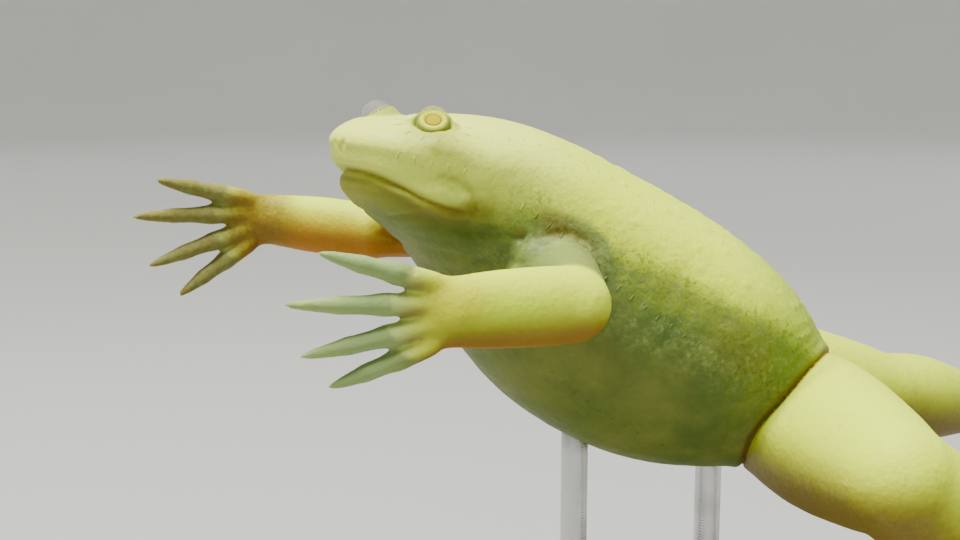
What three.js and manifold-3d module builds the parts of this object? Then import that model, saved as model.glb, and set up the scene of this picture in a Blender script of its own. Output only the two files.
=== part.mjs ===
// An albino African clawed frog, life size, swimming with its head raised, held by a plain display stand.
// Millimetres, +Z up. The frog's body faces -Y and its left side is +X. The origin is the middle of the
// stand's underside.
import * as THREE from "three";
import { mergeVertices } from "three/addons/utils/BufferGeometryUtils.js";
import Module from "manifold-3d";

const wasm = await Module();
wasm.setup();

const V = (x, y, z) => new THREE.Vector3(x, y, z);
const { degToRad, lerp, smoothstep } = THREE.MathUtils;

// Driving dimensions
const LENGTH = 92; // snout to vent, along the spine
const HIP = { at: 77, place: V(0, 12, 64) }; // where the spine passes between the hips
const HEAD_PITCH = 12;
const TRUNK_PITCH = 36;
const HEAD_YAW = 15; // the head turns to the frog's left
const NECK = { start: 14, end: 40 }; // the spine bends between these distances from the snout
const HEAD_END = 27;
const GAP = 0.3; // between neighbouring pieces
const SNOUT = 1; // where the flesh starts along the spine
const SNOUT_ROUND = 9.5; // lengths over which the two ends of the body round off
const RUMP_ROUND = 13;

// The snout hangs over the chin: depth under the spine, and how far back the flesh lies there in front
const OVERHANG = [
  [0, 0],
  [1.8, 1.15],
  [3.5, 2.3],
  [5.5, 1.3],
  [7.5, 1.9],
  [10, 3.2],
  [14, 3.7],
];
const OVERHANG_END = 22; // it fades out by this distance from the snout

// The body's outline: distance from the snout, half width, rise of the back and drop of the belly
const OUTLINE = [
  [0, 8.2, 3.9, 7.8],
  [7, 10.2, 4.4, 9.2],
  [11.5, 12.2, 5.2, 10.8],
  [17, 14.4, 6.4, 13.6],
  [23, 16.4, 7.6, 16.6],
  [33, 19.8, 9.0, 21.6],
  [46, 24.6, 11.0, 25.4],
  [57, 27.6, 11.8, 25.6],
  [67, 27.4, 11.0, 23.4],
  [77, 23.4, 7.4, 18.6],
  [85, 16.0, 3.6, 13.2],
  [92, 10.0, 2.6, 9.2],
];
const SQUARENESS = 2.2; // exponent of the body's sections, where 2 is an ellipse
const BODY_SIDES = 32;
const BODY_RINGS = 25;

const EYE = { at: 11, side: 6.6, rise: 4.1, radius: 2.6, look: V(0.42, 0.4, 0.81) };
const CORNEA = { radius: 2.05, forward: 0.8 };
const LID = { radius: 2.6, thick: 0.5, forward: 0.2 };
const EYE_MOUND = { radius: 3.5, back: 1.6 };
const NOSTRIL = { at: 1.5, side: 1.4, rise: 1.2, radius: 0.6 };

// The mouth, seen from the side: distance from the snout and height over the spine, then down behind the jaw
const MOUTH = [
  [-3, -3.1],
  [4, -3.3],
  [7, -4.3],
  [10, -5.5],
  [14, -6.2],
  [16, -7.2],
  [17.4, -10],
  [18.6, -16],
  [20, -28],
];
const LIPS = [
  { over: 0.95, half: 0.75, proud: 0.4 }, // the upper lip
  { over: -0.85, half: 0.65, proud: 0.25 }, // and the lower one
];
const LIP_END = 0.42; // share of the mouth's line that carries lips
const MOUTH_WALL = 0.18; // half the gap between the head and the lower jaw

// Arms, from shoulder to fingertips. Ways are left, back and up.
const SHOULDER = { at: 34, side: 17, rise: -7 };
const ARM_SIZES = {
  upper: [[0, 4.4, 4.4], [0.6, 4.6, 4.4], [1, 4.6, 4.5]],
  fore: [[0, 4.2, 4.9], [0.35, 4.0, 4.9], [0.8, 3.3, 4.6], [1, 2.9, 4.3]],
  palm: [[0, 2.9, 4.3], [0.6, 2.3, 4.5], [1, 1.8, 4.3]],
};
const PALM_LENGTH = 2.4;
const FINGERS = {
  lengths: [14.8, 18, 16.4, 13.4],
  top: 3.4, // from the middle of the palm to the first finger's root
  spacing: 2.35,
  radius: 1.45,
  taper: 0.2,
  bend: 0.1, // share of its length that a tip bends towards the palm
  sunk: 0.5,
};
const LEFT_ARM = {
  side: "left",
  girth: 1,
  ways: [V(0.92, -0.27, -0.27), V(0.14, -0.99, 0.04), V(0.12, -0.99, 0.08)],
  lengths: [12.5, 16.6, PALM_LENGTH],
  spread: V(0, 0.06, 1),
  fan: [13, -1, -14, -23],
};
const RIGHT_ARM = {
  side: "right",
  girth: 0.86,
  ways: [V(0.2, -0.97, 0.03), V(-0.36, -0.92, 0.12), V(0.12, -0.98, -0.02)],
  lengths: [16.4, 15.5, PALM_LENGTH],
  spread: V(0, 0.03, 1),
  fan: [16, 4, -14, -30],
};

// Legs, from hip to toe tips
const HIP_JOINT = { at: 81, side: 13, rise: -5 };
const LEG_SIZES = {
  thigh: [[0, 10.0, 10.5], [0.4, 10.1, 10.4], [0.8, 8.4, 8.6], [1, 7.1, 7.2]],
  shank: [[0, 6.9, 7.1], [0.3, 7.3, 7.7], [0.7, 5.2, 5.5], [1, 3.9, 4.0]],
  tarsus: [[0, 3.9, 4.0], [0.5, 3.4, 3.2], [1, 5.0, 2.5]],
};
const LEFT_LEG = {
  side: "left",
  ways: [V(0.97, -0.23, 0.07), V(-0.05, 0.78, -0.62), V(0.4, 0.9, -0.16)],
  lengths: [38, 42, 19],
  sole: V(0.1, 0.1, 1),
};
const RIGHT_LEG = {
  side: "right",
  ways: [V(-0.1, 0.97, -0.2), V(-0.34, 0.92, -0.24), V(-0.3, 0.93, -0.22)],
  lengths: [38, 42, 19],
  sole: V(-0.2, 0.2, 1),
};
const TOES = [
  { angle: -36, length: 24, claw: true },
  { angle: -20, length: 31, claw: true },
  { angle: -5, length: 39, claw: true },
  { angle: 10, length: 46, claw: false },
  { angle: 25, length: 42, claw: false },
];
const MIDDLE_TOE = 2;
const TOE = {
  root: 1.5, // radii
  clawed_tip: 0.75,
  bare_tip: 0.3,
  spacing: 1.8,
  splay: 0.12, // how much wider the toes leave the heel than they end
  droop: 0.13,
  room: 0.42, // the most of the way to the next toe that a toe's flesh takes
  sunk: 1.5, // how far inside the heel the toes start
};
const WEB = { half_thickness: 0.32, notch: 0.17, sag: 0.1 };
const CLAW = { gap: 0.6, length: 3.4, radius: 0.8, curl: 0.9 };

const STAND = {
  base: { width: 84, depth: 116, height: 6, corner: 14, bevel: 1, centre_y: 0 },
  rod: { radius: 2, foot_radius: 4.5, foot_height: 2.4 },
  rods: { front: 42, rear: 70 }, // where along the spine each rod holds the belly
};

const SKIN = new THREE.MeshStandardMaterial({ color: 0xe2e0ab, roughness: 0.38 });
const EYE_COLOUR = new THREE.MeshStandardMaterial({ color: 0xd9b458, roughness: 0.1 });
const HORN = new THREE.MeshStandardMaterial({ color: 0x4a3622, roughness: 0.35 });
const BLACK = new THREE.MeshStandardMaterial({ color: 0x24262a, roughness: 0.5 });
const STEEL = new THREE.MeshStandardMaterial({ color: 0xb8babc, roughness: 0.3, metalness: 1 });

// A smooth line through rows of [place, value, value, ...]
function between(rows, place) {
  const last = rows.length - 1;
  let i = 0;
  while (i < last - 1 && rows[i + 1][0] < place) i += 1;
  const slope = (j, k) => {
    const a = rows[Math.max(j - 1, 0)];
    const b = rows[Math.min(j + 1, last)];
    return (b[k] - a[k]) / (b[0] - a[0]);
  };
  const width = rows[i + 1][0] - rows[i][0];
  const t = THREE.MathUtils.clamp((place - rows[i][0]) / width, 0, 1);
  const t2 = t * t;
  const t3 = t2 * t;
  return rows[i].slice(1).map((value, n) => {
    const k = n + 1;
    return (
      value * (2 * t3 - 3 * t2 + 1) +
      rows[i + 1][k] * (3 * t2 - 2 * t3) +
      slope(i, k) * width * (t3 - 2 * t2 + t) +
      slope(i + 1, k) * width * (t3 - t2)
    );
  });
}

// How far a rounded end has opened at a distance from its tip, from 0 to 1
function rounding(distance, length) {
  const short = THREE.MathUtils.clamp(1 - distance / length, 0, 1);
  return Math.sqrt(1 - short * short);
}

// Builds one closed mesh from rings of points, closed at each end round a point
function loft(start, rings, end) {
  const sides = rings[0].length;
  const points = [start, ...rings.flat(), end];
  const faces = [];
  const corner = (ring, side) => 1 + ring * sides + (side % sides);
  for (let side = 0; side < sides; side += 1) {
    faces.push(0, corner(0, side + 1), corner(0, side));
    for (let ring = 0; ring < rings.length - 1; ring += 1) {
      const [a, b] = [corner(ring, side), corner(ring, side + 1)];
      const [c, d] = [corner(ring + 1, side), corner(ring + 1, side + 1)];
      faces.push(a, b, d, a, d, c);
    }
    faces.push(points.length - 1, corner(rings.length - 1, side), corner(rings.length - 1, side + 1));
  }
  return solid(points, faces);
}

// Makes a closed solid of points and triangles, turned outwards
function solid(points, faces) {
  const place = new Float32Array(points.flatMap((p) => [p.x, p.y, p.z]));
  const geometry = new THREE.BufferGeometry();
  geometry.setAttribute("position", new THREE.BufferAttribute(place, 3));
  geometry.setIndex(faces);
  return solidOf(geometry);
}

function solidOf(geometry) {
  const plain = geometry.clone();
  plain.deleteAttribute("normal");
  plain.deleteAttribute("uv");
  const merged = mergeVertices(plain, 1e-4);
  const triVerts = new Uint32Array(merged.index.array);
  const make = () =>
    new wasm.Manifold(
      new wasm.Mesh({ numProp: 3, vertProperties: merged.attributes.position.array, triVerts }),
    );
  const made = make();
  if (made.volume() > 0) return made;
  for (let i = 0; i < triVerts.length; i += 3) {
    [triVerts[i + 1], triVerts[i + 2]] = [triVerts[i + 2], triVerts[i + 1]];
  }
  return make();
}

// A three.js shape moved to a place, with its +Z turned along a way
function placed(geometry, place, way = V(0, 0, 1)) {
  const turn = new THREE.Quaternion().setFromUnitVectors(V(0, 0, 1), way.clone().normalize());
  return solidOf(geometry.clone().applyQuaternion(turn).translate(place.x, place.y, place.z));
}

function largest(shape) {
  return shape.decompose().reduce((a, b) => (a.volume() > b.volume() ? a : b));
}

// Keeps what lies on the far side of a plane through a place, at least half a gap from it
function beyond(shape, place, way) {
  const n = way.clone().normalize();
  return shape.trimByPlane([n.x, n.y, n.z], n.dot(place) + GAP / 2);
}

// Which way the spine points, towards the snout, at a distance from the snout
function heading(at) {
  const bend = smoothstep(at, NECK.start, NECK.end);
  const pitch = degToRad(lerp(HEAD_PITCH, TRUNK_PITCH, bend));
  const yaw = degToRad(HEAD_YAW * (1 - bend));
  return V(Math.sin(yaw) * Math.cos(pitch), -Math.cos(yaw) * Math.cos(pitch), Math.sin(pitch));
}

// The spine's place and directions at a distance from the snout
function station(at) {
  const steps = 80;
  const step = (HIP.at - at) / steps;
  const centre = HIP.place.clone();
  for (let i = 0; i < steps; i += 1) {
    centre.addScaledVector(heading(HIP.at - (i + 0.5) * step), step);
  }
  const forward = heading(at);
  const left = V(0, 0, 1).cross(forward).normalize();
  return { centre, forward, left, up: forward.clone().cross(left) };
}

// A point given by its distance from the snout, its way to the left and its rise over the spine
function inBody(at, side, rise) {
  const { centre, left, up } = station(at);
  return centre.addScaledVector(left, side).addScaledVector(up, rise);
}

function headWay(way) {
  const { forward, left, up } = station(EYE.at);
  return V(0, 0, 0).addScaledVector(left, way.x).addScaledVector(forward, way.y).addScaledVector(up, way.z);
}

// How far back the lower half of the snout leans, at a height over the spine
function lean(at, height) {
  const [back] = between(OVERHANG, Math.max(0, -height));
  return back * Math.max(0, 1 - at / OVERHANG_END);
}

// One ring of the body's surface, grown outwards by a margin
function bodyRing(at, grow) {
  const [width, rise, drop] = between(OUTLINE, at);
  const open = rounding(at - SNOUT, SNOUT_ROUND) * rounding(LENGTH - at, RUMP_ROUND);
  const { centre, forward, left, up } = station(at);
  const power = (v) => Math.sign(v) * Math.abs(v) ** (2 / SQUARENESS);
  return Array.from({ length: BODY_SIDES }, (_, k) => {
    const angle = (2 * Math.PI * k) / BODY_SIDES;
    const height = ((angle < Math.PI ? rise : drop) * open + grow) * power(Math.sin(angle));
    return centre
      .clone()
      .addScaledVector(left, (width * open + grow) * power(Math.cos(angle)))
      .addScaledVector(up, height)
      .addScaledVector(forward, -lean(at, height));
  });
}

function body(grow = 0) {
  const rings = [];
  for (let i = 1; i < BODY_RINGS; i += 1) {
    const share = (1 - Math.cos((Math.PI * i) / BODY_RINGS)) / 2;
    rings.push(bodyRing(lerp(SNOUT, LENGTH, share), grow));
  }
  const snout = station(SNOUT);
  const vent = station(LENGTH);
  return loft(
    snout.centre.addScaledVector(snout.forward, grow),
    rings,
    vent.centre.addScaledVector(vent.forward, -grow),
  );
}

// A limb segment from one joint to the next, with rounded ends and flattened sections.
// sizes are rows of [share of the length, half size across, half size along the thick way].
function segment(from, to, sizes, thick, { sides = 14, rings = 6, grow = 0 } = {}) {
  const way = to.clone().sub(from);
  const length = way.length();
  way.normalize();
  const across = way.clone().cross(thick).normalize();
  const depth = across.clone().cross(way).normalize();
  const start = Math.min(...sizes[0].slice(1));
  const finish = Math.min(...sizes.at(-1).slice(1));
  const span = length + start + finish;
  const places = [0.06, 0.3, 0.65].map((x) => x * start);
  for (let i = 0; i <= rings; i += 1) places.push(start + (length * i) / rings);
  places.push(...[0.65, 0.3, 0.06].map((x) => span - x * finish));
  const ring = (place) => {
    const share = THREE.MathUtils.clamp((place - start) / length, 0, 1);
    const open = rounding(place, start) * rounding(span - place, finish);
    const [wide, deep] = between(sizes, share).map((size) => size * open + grow);
    const centre = from.clone().addScaledVector(way, place - start);
    return Array.from({ length: sides }, (_, k) => {
      const angle = (2 * Math.PI * k) / sides;
      return centre
        .clone()
        .addScaledVector(across, wide * Math.cos(angle))
        .addScaledVector(depth, deep * Math.sin(angle));
    });
  };
  return loft(
    from.clone().addScaledVector(way, -start - grow),
    places.map(ring),
    to.clone().addScaledVector(way, finish + grow),
  );
}

// The joints of a limb, one after another
function joints(root, ways, lengths) {
  const places = [root];
  ways.forEach((way, i) => {
    places.push(places[i].clone().addScaledVector(way.clone().normalize(), lengths[i]));
  });
  return places;
}

// Parts two neighbouring segments at their joint, on the plane that halves the bend
function part(near, far, joint, wayIn, wayOut) {
  const way = wayIn.clone().normalize().add(wayOut.clone().normalize());
  return [beyond(near, joint, way.clone().negate()), beyond(far, joint, way)];
}

// A tapered finger that bends a little towards the palm
function finger(root, way, bend, length) {
  const rings = 7;
  const sides = 8;
  const across = way.clone().cross(bend).normalize();
  const point = (t) =>
    root
      .clone()
      .addScaledVector(way, length * t)
      .addScaledVector(bend, length * FINGERS.bend * t * t);
  const ring = (t) => {
    const radius = FINGERS.radius * (1 - FINGERS.taper * t) * Math.sqrt(1 - t ** 2.6);
    return Array.from({ length: sides }, (_, k) => {
      const angle = (2 * Math.PI * k) / sides;
      return point(t)
        .addScaledVector(across, radius * Math.cos(angle))
        .addScaledVector(bend, radius * Math.sin(angle));
    });
  };
  const places = Array.from({ length: rings }, (_, i) => (i / rings) ** 0.9);
  return loft(root.clone().addScaledVector(way, -FINGERS.sunk), places.map(ring), point(1));
}

function arm(spec, trunk) {
  const sign = spec.side === "left" ? 1 : -1;
  const [shoulder, elbow, wrist, knuckles] = joints(
    inBody(SHOULDER.at, SHOULDER.side * sign, SHOULDER.rise),
    spec.ways,
    spec.lengths,
  );
  const [upperWay, foreWay, palmWay] = spec.ways;
  const sizes = (rows) => rows.map(([share, wide, deep]) => [share, wide * spec.girth, deep * spec.girth]);
  let upper = segment(shoulder, elbow, sizes(ARM_SIZES.upper), spec.spread).subtract(trunk);
  let fore = segment(elbow, wrist, sizes(ARM_SIZES.fore), spec.spread);
  const bendWay = palmWay.clone().normalize().cross(spec.spread).normalize().multiplyScalar(sign);
  let hand = segment(wrist, knuckles, sizes(ARM_SIZES.palm), spec.spread, { sides: 12, rings: 2 });
  spec.fan.forEach((angle, i) => {
    const way = palmWay.clone().normalize().applyAxisAngle(bendWay, degToRad(sign * angle));
    const up = spec.spread.clone().multiplyScalar((FINGERS.top - i * FINGERS.spacing) * spec.girth);
    hand = hand.add(finger(knuckles.clone().add(up), way, bendWay, FINGERS.lengths[i]));
  });
  [upper, fore] = part(upper, fore, elbow, upperWay, foreWay);
  [fore, hand] = part(fore, hand, wrist, foreWay, palmWay);
  fore = fore.subtract(trunk);
  return { upper_arm: upper, forearm: fore, hand };
}

// The middle line of a toe, from the end of the tarsus
function toeLine(frame, index, t) {
  const { angle, length } = TOES[index];
  const turn = degToRad(angle * (1 + TOE.splay * (1 - t)));
  return frame.root
    .clone()
    .addScaledVector(frame.across, (index - MIDDLE_TOE) * TOE.spacing + length * t * Math.sin(turn))
    .addScaledVector(frame.way, length * t * Math.cos(turn))
    .addScaledVector(frame.up, -TOE.droop * length * t * t);
}

function toeRadius(index, t) {
  return lerp(TOE.root, TOES[index].claw ? TOE.clawed_tip : TOE.bare_tip, t);
}

// Points and half thicknesses across the foot, in one row of the web at a share of the toes' length
function footRow(frame, t) {
  const line = TOES.map((_, i) => toeLine(frame, i, t));
  const last = TOES.length - 1;
  const row = [];
  TOES.forEach((_, i) => {
    const before = line[Math.max(i - 1, 0)];
    const after = line[Math.min(i + 1, last)];
    const side = after.clone().sub(before).normalize();
    const gapBefore = line[i].distanceTo(i ? before : after);
    const gapAfter = line[i].distanceTo(i < last ? after : before);
    const room = TOE.room * Math.min(gapBefore, gapAfter);
    const radius = toeRadius(i, t);
    [-1, -0.4, 0.4, 1].forEach((offset) => {
      const outer = (i === 0 && offset < 0) || (i === last && offset > 0);
      const half = outer ? radius : Math.min(radius, room);
      const place = line[i].clone().addScaledVector(side, offset * half);
      const thick = Math.max(WEB.half_thickness, radius * Math.sqrt(1 - offset * offset));
      row.push({ place, thick });
    });
    if (i === last) return;
    [1 / 3, 2 / 3].forEach((share) => {
      const arch = Math.sin(Math.PI * share);
      const back = t * (1 - WEB.notch * arch * t);
      const place = toeLine(frame, i, back).lerp(toeLine(frame, i + 1, back), share);
      const width = line[i].distanceTo(line[i + 1]);
      place.addScaledVector(frame.up, -WEB.sag * arch * width * t);
      row.push({ place, thick: WEB.half_thickness });
    });
  });
  return row;
}

// The toes and the web between them as one closed sheet, thick along each toe
function toesAndWeb(frame) {
  const rowCount = 9;
  const rows = Array.from({ length: rowCount }, (_, i) => footRow(frame, (i / (rowCount - 1)) ** 0.85));
  const columns = rows[0].length;
  const points = [];
  for (const sign of [1, -0.75]) {
    rows.flat().forEach(({ place, thick }) => {
      const rise = sign > 0 ? thick : Math.max(thick * 0.75, WEB.half_thickness) * -1;
      points.push(place.clone().addScaledVector(frame.up, rise));
    });
  }
  const under = rows.length * columns;
  const faces = [];
  const quad = (a, b, c, d) => faces.push(a, b, c, a, c, d);
  for (let r = 0; r < rowCount - 1; r += 1) {
    for (let c = 0; c < columns - 1; c += 1) {
      const a = r * columns + c;
      const d = a + columns;
      quad(a, a + 1, d + 1, d);
      faces.push(under + a, under + d + 1, under + a + 1, under + a, under + d, under + d + 1);
    }
  }
  const wall = (a, b) => quad(a, under + a, under + b, b);
  for (let c = 0; c < columns - 1; c += 1) {
    wall(c, c + 1);
    wall((rowCount - 1) * columns + c + 1, (rowCount - 1) * columns + c);
  }
  for (let r = 0; r < rowCount - 1; r += 1) {
    wall((r + 1) * columns, r * columns);
    wall(r * columns + columns - 1, (r + 1) * columns + columns - 1);
  }
  return solid(points, faces);
}

// A curved horn tip beyond the end of a toe
function claw(frame, index) {
  const tip = toeLine(frame, index, 1);
  const way = tip.clone().sub(toeLine(frame, index, 0.93)).normalize();
  const across = way.clone().cross(frame.up).normalize();
  const up = across.clone().cross(way).normalize();
  const rings = 5;
  const centre = (t) =>
    tip
      .clone()
      .addScaledVector(way, CLAW.gap + CLAW.length * t)
      .addScaledVector(up, -CLAW.curl * t * t);
  const ring = (t) => {
    const radius = CLAW.radius * (1 - 0.88 * t ** 1.3);
    return Array.from({ length: 8 }, (_, k) => {
      const angle = (Math.PI * k) / 4;
      return centre(t)
        .addScaledVector(across, radius * Math.cos(angle))
        .addScaledVector(up, radius * Math.sin(angle));
    });
  };
  const places = Array.from({ length: rings }, (_, i) => i / rings);
  return loft(centre(0), places.map(ring), centre(1));
}

function leg(spec, trunk) {
  const sign = spec.side === "left" ? 1 : -1;
  const [hip, knee, ankle, heel] = joints(
    inBody(HIP_JOINT.at, HIP_JOINT.side * sign, HIP_JOINT.rise),
    spec.ways,
    spec.lengths,
  );
  const [thighWay, shankWay, footWay] = spec.ways;
  let thigh = segment(hip, knee, LEG_SIZES.thigh, V(0, 0, 1), { sides: 20, rings: 7 }).subtract(trunk);
  let shank = segment(knee, ankle, LEG_SIZES.shank, V(0, 0, 1), { sides: 18, rings: 7 });
  const tarsus = segment(ankle, heel, LEG_SIZES.tarsus, spec.sole, { rings: 5 });
  const way = footWay.clone().normalize();
  const across = way.clone().cross(spec.sole).normalize().multiplyScalar(sign);
  const up = spec.sole.clone().addScaledVector(way, -way.dot(spec.sole)).normalize();
  const frame = { root: heel.clone().addScaledVector(way, -TOE.sunk), way, across, up };
  let foot = tarsus.add(toesAndWeb(frame));
  [thigh, shank] = part(thigh, shank, knee, thighWay, shankWay);
  [shank, foot] = part(shank, foot, ankle, shankWay, footWay);
  shank = shank.subtract(trunk);
  const claws = TOES.flatMap((toe, i) => (toe.claw ? [claw(frame, i)] : []));
  return { thigh, shank, foot, claws };
}

// The eyeball with its clear bulge in front, grown by a margin
function eyeball(place, look, grow = 0) {
  const ball = placed(new THREE.SphereGeometry(EYE.radius + grow, 14, 9), place, look);
  const front = place.clone().addScaledVector(look, CORNEA.forward);
  return ball.add(placed(new THREE.SphereGeometry(CORNEA.radius + grow, 14, 9), front, look));
}

// A wall right across the head that follows the mouth, and then runs down behind the lower jaw.
// over is how far it lies over the mouth's line, half is half its thickness and end is the share of
// the line that it follows.
function mouthWall(over, half, end) {
  const reach = 40;
  const steps = 14;
  const line = new THREE.CatmullRomCurve3(MOUTH.map(([at, rise]) => V(at, rise, 0)), false, "centripetal");
  const rings = [];
  for (let i = 0; i <= steps; i += 1) {
    const share = (end * i) / steps;
    const p = line.getPointAt(share);
    const along = line.getTangentAt(share);
    const corner = (side, off) => inBody(p.x - along.y * off, side, p.y + along.x * off);
    const [high, low] = [over + half, over - half];
    rings.push([corner(reach, high), corner(-reach, high), corner(-reach, low), corner(reach, low)]);
  }
  const middle = (ring) => ring.reduce((sum, p) => sum.add(p), V(0, 0, 0)).divideScalar(4);
  return loft(middle(rings[0]), rings, middle(rings.at(-1)));
}

function headAndJaw(whole) {
  const eyes = {};
  let head = whole;
  for (const { over, half, proud } of LIPS) {
    head = head.add(body(proud).intersect(mouthWall(over, half, LIP_END)));
  }
  for (const [side, sign] of [["left", 1], ["right", -1]]) {
    const look = headWay(V(EYE.look.x * sign, EYE.look.y, EYE.look.z)).normalize();
    const place = inBody(EYE.at, EYE.side * sign, EYE.rise);
    const low = place.clone().addScaledVector(look, -EYE_MOUND.back);
    const rim = place.clone().addScaledVector(look, LID.forward);
    const nostril = inBody(NOSTRIL.at, NOSTRIL.side * sign, NOSTRIL.rise);
    head = head
      .add(placed(new THREE.SphereGeometry(EYE_MOUND.radius, 14, 9), low, look))
      .add(placed(new THREE.TorusGeometry(LID.radius, LID.thick, 6, 14), rim, look))
      .subtract(eyeball(place, look, GAP))
      .subtract(placed(new THREE.SphereGeometry(NOSTRIL.radius, 6, 4), nostril));
    eyes[`eye_${side}`] = eyeball(place, look);
  }
  const [a, b] = head
    .subtract(mouthWall(0, MOUTH_WALL, 1))
    .decompose()
    .sort((p, q) => q.volume() - p.volume());
  return { head: a, jaw: b, eyes };
}

function stand(trunk) {
  const { base, rod, rods } = STAND;
  const outline = new THREE.Shape();
  const [w, d, r] = [base.width / 2 - base.bevel, base.depth / 2 - base.bevel, base.corner];
  outline.moveTo(w - r, -d).absarc(w - r, -d + r, r, -Math.PI / 2, 0);
  outline.absarc(w - r, d - r, r, 0, Math.PI / 2).absarc(-w + r, d - r, r, Math.PI / 2, Math.PI);
  outline.absarc(-w + r, -d + r, r, Math.PI, 1.5 * Math.PI);
  const plate = new THREE.ExtrudeGeometry(outline, {
    depth: base.height - 2 * base.bevel,
    bevelSize: base.bevel,
    bevelThickness: base.bevel,
    bevelSegments: 1,
    curveSegments: 5,
  }).translate(0, base.centre_y, base.bevel);
  const found = { stand_base: solidOf(plate) };
  for (const [name, at] of Object.entries(rods)) {
    const { centre } = station(at);
    const low = base.height + GAP;
    const profile = [
      [0, low],
      [rod.foot_radius, low],
      [rod.foot_radius, low + 0.8],
      [rod.radius, low + rod.foot_height],
      [rod.radius, centre.z],
      [0, centre.z],
    ].map(([x, y]) => new THREE.Vector2(x, y));
    const shape = new THREE.LatheGeometry(profile, 20).rotateX(Math.PI / 2).translate(0, centre.y, 0);
    found[`stand_rod_${name}`] = solidOf(shape).subtract(trunk);
  }
  return found;
}

const frog = new THREE.Group();

function show(name, shape, material) {
  const kept = largest(shape).getMesh();
  const geometry = new THREE.BufferGeometry();
  geometry.setAttribute("position", new THREE.BufferAttribute(kept.vertProperties, kept.numProp));
  geometry.setIndex(new THREE.BufferAttribute(kept.triVerts, 1));
  const mesh = new THREE.Mesh(geometry, material);
  mesh.name = name;
  frog.add(mesh);
}

const grown = body(GAP);
const neck = station(HEAD_END);
const whole = body();
const { head, jaw, eyes } = headAndJaw(beyond(whole, neck.centre, neck.forward));
show("head", head, SKIN);
show("jaw", jaw, SKIN);
show("torso", beyond(whole, neck.centre, neck.forward.clone().negate()), SKIN);
for (const [name, shape] of Object.entries(eyes)) show(name, shape, EYE_COLOUR);
for (const spec of [LEFT_ARM, RIGHT_ARM]) {
  for (const [name, shape] of Object.entries(arm(spec, grown))) show(`${name}_${spec.side}`, shape, SKIN);
}
for (const spec of [LEFT_LEG, RIGHT_LEG]) {
  const { thigh, shank, foot, claws } = leg(spec, grown);
  show(`thigh_${spec.side}`, thigh, SKIN);
  show(`shank_${spec.side}`, shank, SKIN);
  show(`foot_${spec.side}`, foot, SKIN);
  claws.forEach((shape, i) => show(`claw_${spec.side}_${i + 1}`, shape, HORN));
}
for (const [name, shape] of Object.entries(stand(grown))) {
  show(name, shape, name === "stand_base" ? BLACK : STEEL);
}

export default frog;
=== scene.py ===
"""An albino African clawed frog on a display stand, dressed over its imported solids."""
import math

import bmesh
import bpy
import numpy as np
from bpy.props import FloatProperty, FloatVectorProperty, IntProperty, PointerProperty
from mathutils import Matrix, Vector, noise
from mathutils.bvhtree import BVHTree
from mathutils.kdtree import KDTree


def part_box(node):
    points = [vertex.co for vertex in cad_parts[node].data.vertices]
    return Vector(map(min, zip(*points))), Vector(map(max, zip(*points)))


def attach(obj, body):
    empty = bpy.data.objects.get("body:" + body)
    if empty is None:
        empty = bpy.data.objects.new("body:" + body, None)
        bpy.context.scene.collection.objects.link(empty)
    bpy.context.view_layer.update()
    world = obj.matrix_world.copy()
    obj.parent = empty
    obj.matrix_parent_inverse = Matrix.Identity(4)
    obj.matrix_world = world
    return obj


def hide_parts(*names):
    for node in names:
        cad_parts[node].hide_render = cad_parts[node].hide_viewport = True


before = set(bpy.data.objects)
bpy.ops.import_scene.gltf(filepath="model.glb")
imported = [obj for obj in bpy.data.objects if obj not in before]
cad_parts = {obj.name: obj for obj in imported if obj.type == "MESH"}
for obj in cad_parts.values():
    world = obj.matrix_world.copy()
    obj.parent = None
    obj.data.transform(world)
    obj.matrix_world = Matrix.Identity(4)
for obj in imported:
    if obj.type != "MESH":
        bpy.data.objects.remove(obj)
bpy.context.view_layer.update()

bl_info = {
    "name": "Clawed frog",
    "version": (1, 0, 0),
    "blender": (4, 5, 0),
    "location": "View3D > Sidebar > Frog",
    "description": "Makes a life-size African clawed frog on a display stand",
    "category": "Add Mesh",
}

# Shapes are worked out in millimetres, in the solids' frame, and go to metres when a mesh is made
MM = 0.001

LENGTH = 92.0
HIP_AT = 77.0
HIP_PLACE = (0.0, 12.0, 64.0)
HEAD_PITCH = 12.0
TRUNK_PITCH = 36.0
HEAD_YAW = 15.0
NECK_START = 14.0
NECK_END = 40.0
SNOUT = 1.0
SNOUT_ROUND = 9.5
RUMP_ROUND = 13.0
SQUARENESS = 2.2

# Depth under the spine, and how far back the flesh lies there at the very front
OVERHANG = [(0, 0), (1.8, 1.15), (3.5, 2.3), (5.5, 1.3), (7.5, 1.9), (10, 3.2), (14, 3.7)]
OVERHANG_END = 22.0

# Distance from the snout, half width, rise of the back, drop of the belly
OUTLINE = [
    (0, 8.2, 3.9, 7.8),
    (7, 10.2, 4.4, 9.2),
    (11.5, 12.2, 5.2, 10.8),
    (17, 14.4, 6.4, 13.6),
    (23, 16.4, 7.6, 16.6),
    (33, 19.8, 9.0, 21.6),
    (46, 24.6, 11.0, 25.4),
    (57, 27.6, 11.8, 25.6),
    (67, 27.4, 11.0, 23.4),
    (77, 23.4, 7.4, 18.6),
    (85, 16.0, 3.6, 13.2),
    (92, 10.0, 2.6, 9.2),
]

# The mouth from the side: distance from the snout and height over the spine
MOUTH = [(-3, -3.1), (4, -3.3), (7, -4.3), (10, -5.5), (14, -6.2), (16, -5.8)]

# Where the pale back ends on the side and the painted shade of the underside begins: distance from the snout
# and height over the spine
SIDE_LINE = [
    (0, -4.9),
    (8, -5.6),
    (14, -5.2),
    (18, -3.4),
    (22, -2.7),
    (29, -2.7),
    (36, -1.8),
    (42, -1.0),
    (50, -0.2),
    (58, 1.2),
    (66, 2.2),
    (74, 1.0),
    (92, -3.0),
]

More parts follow.
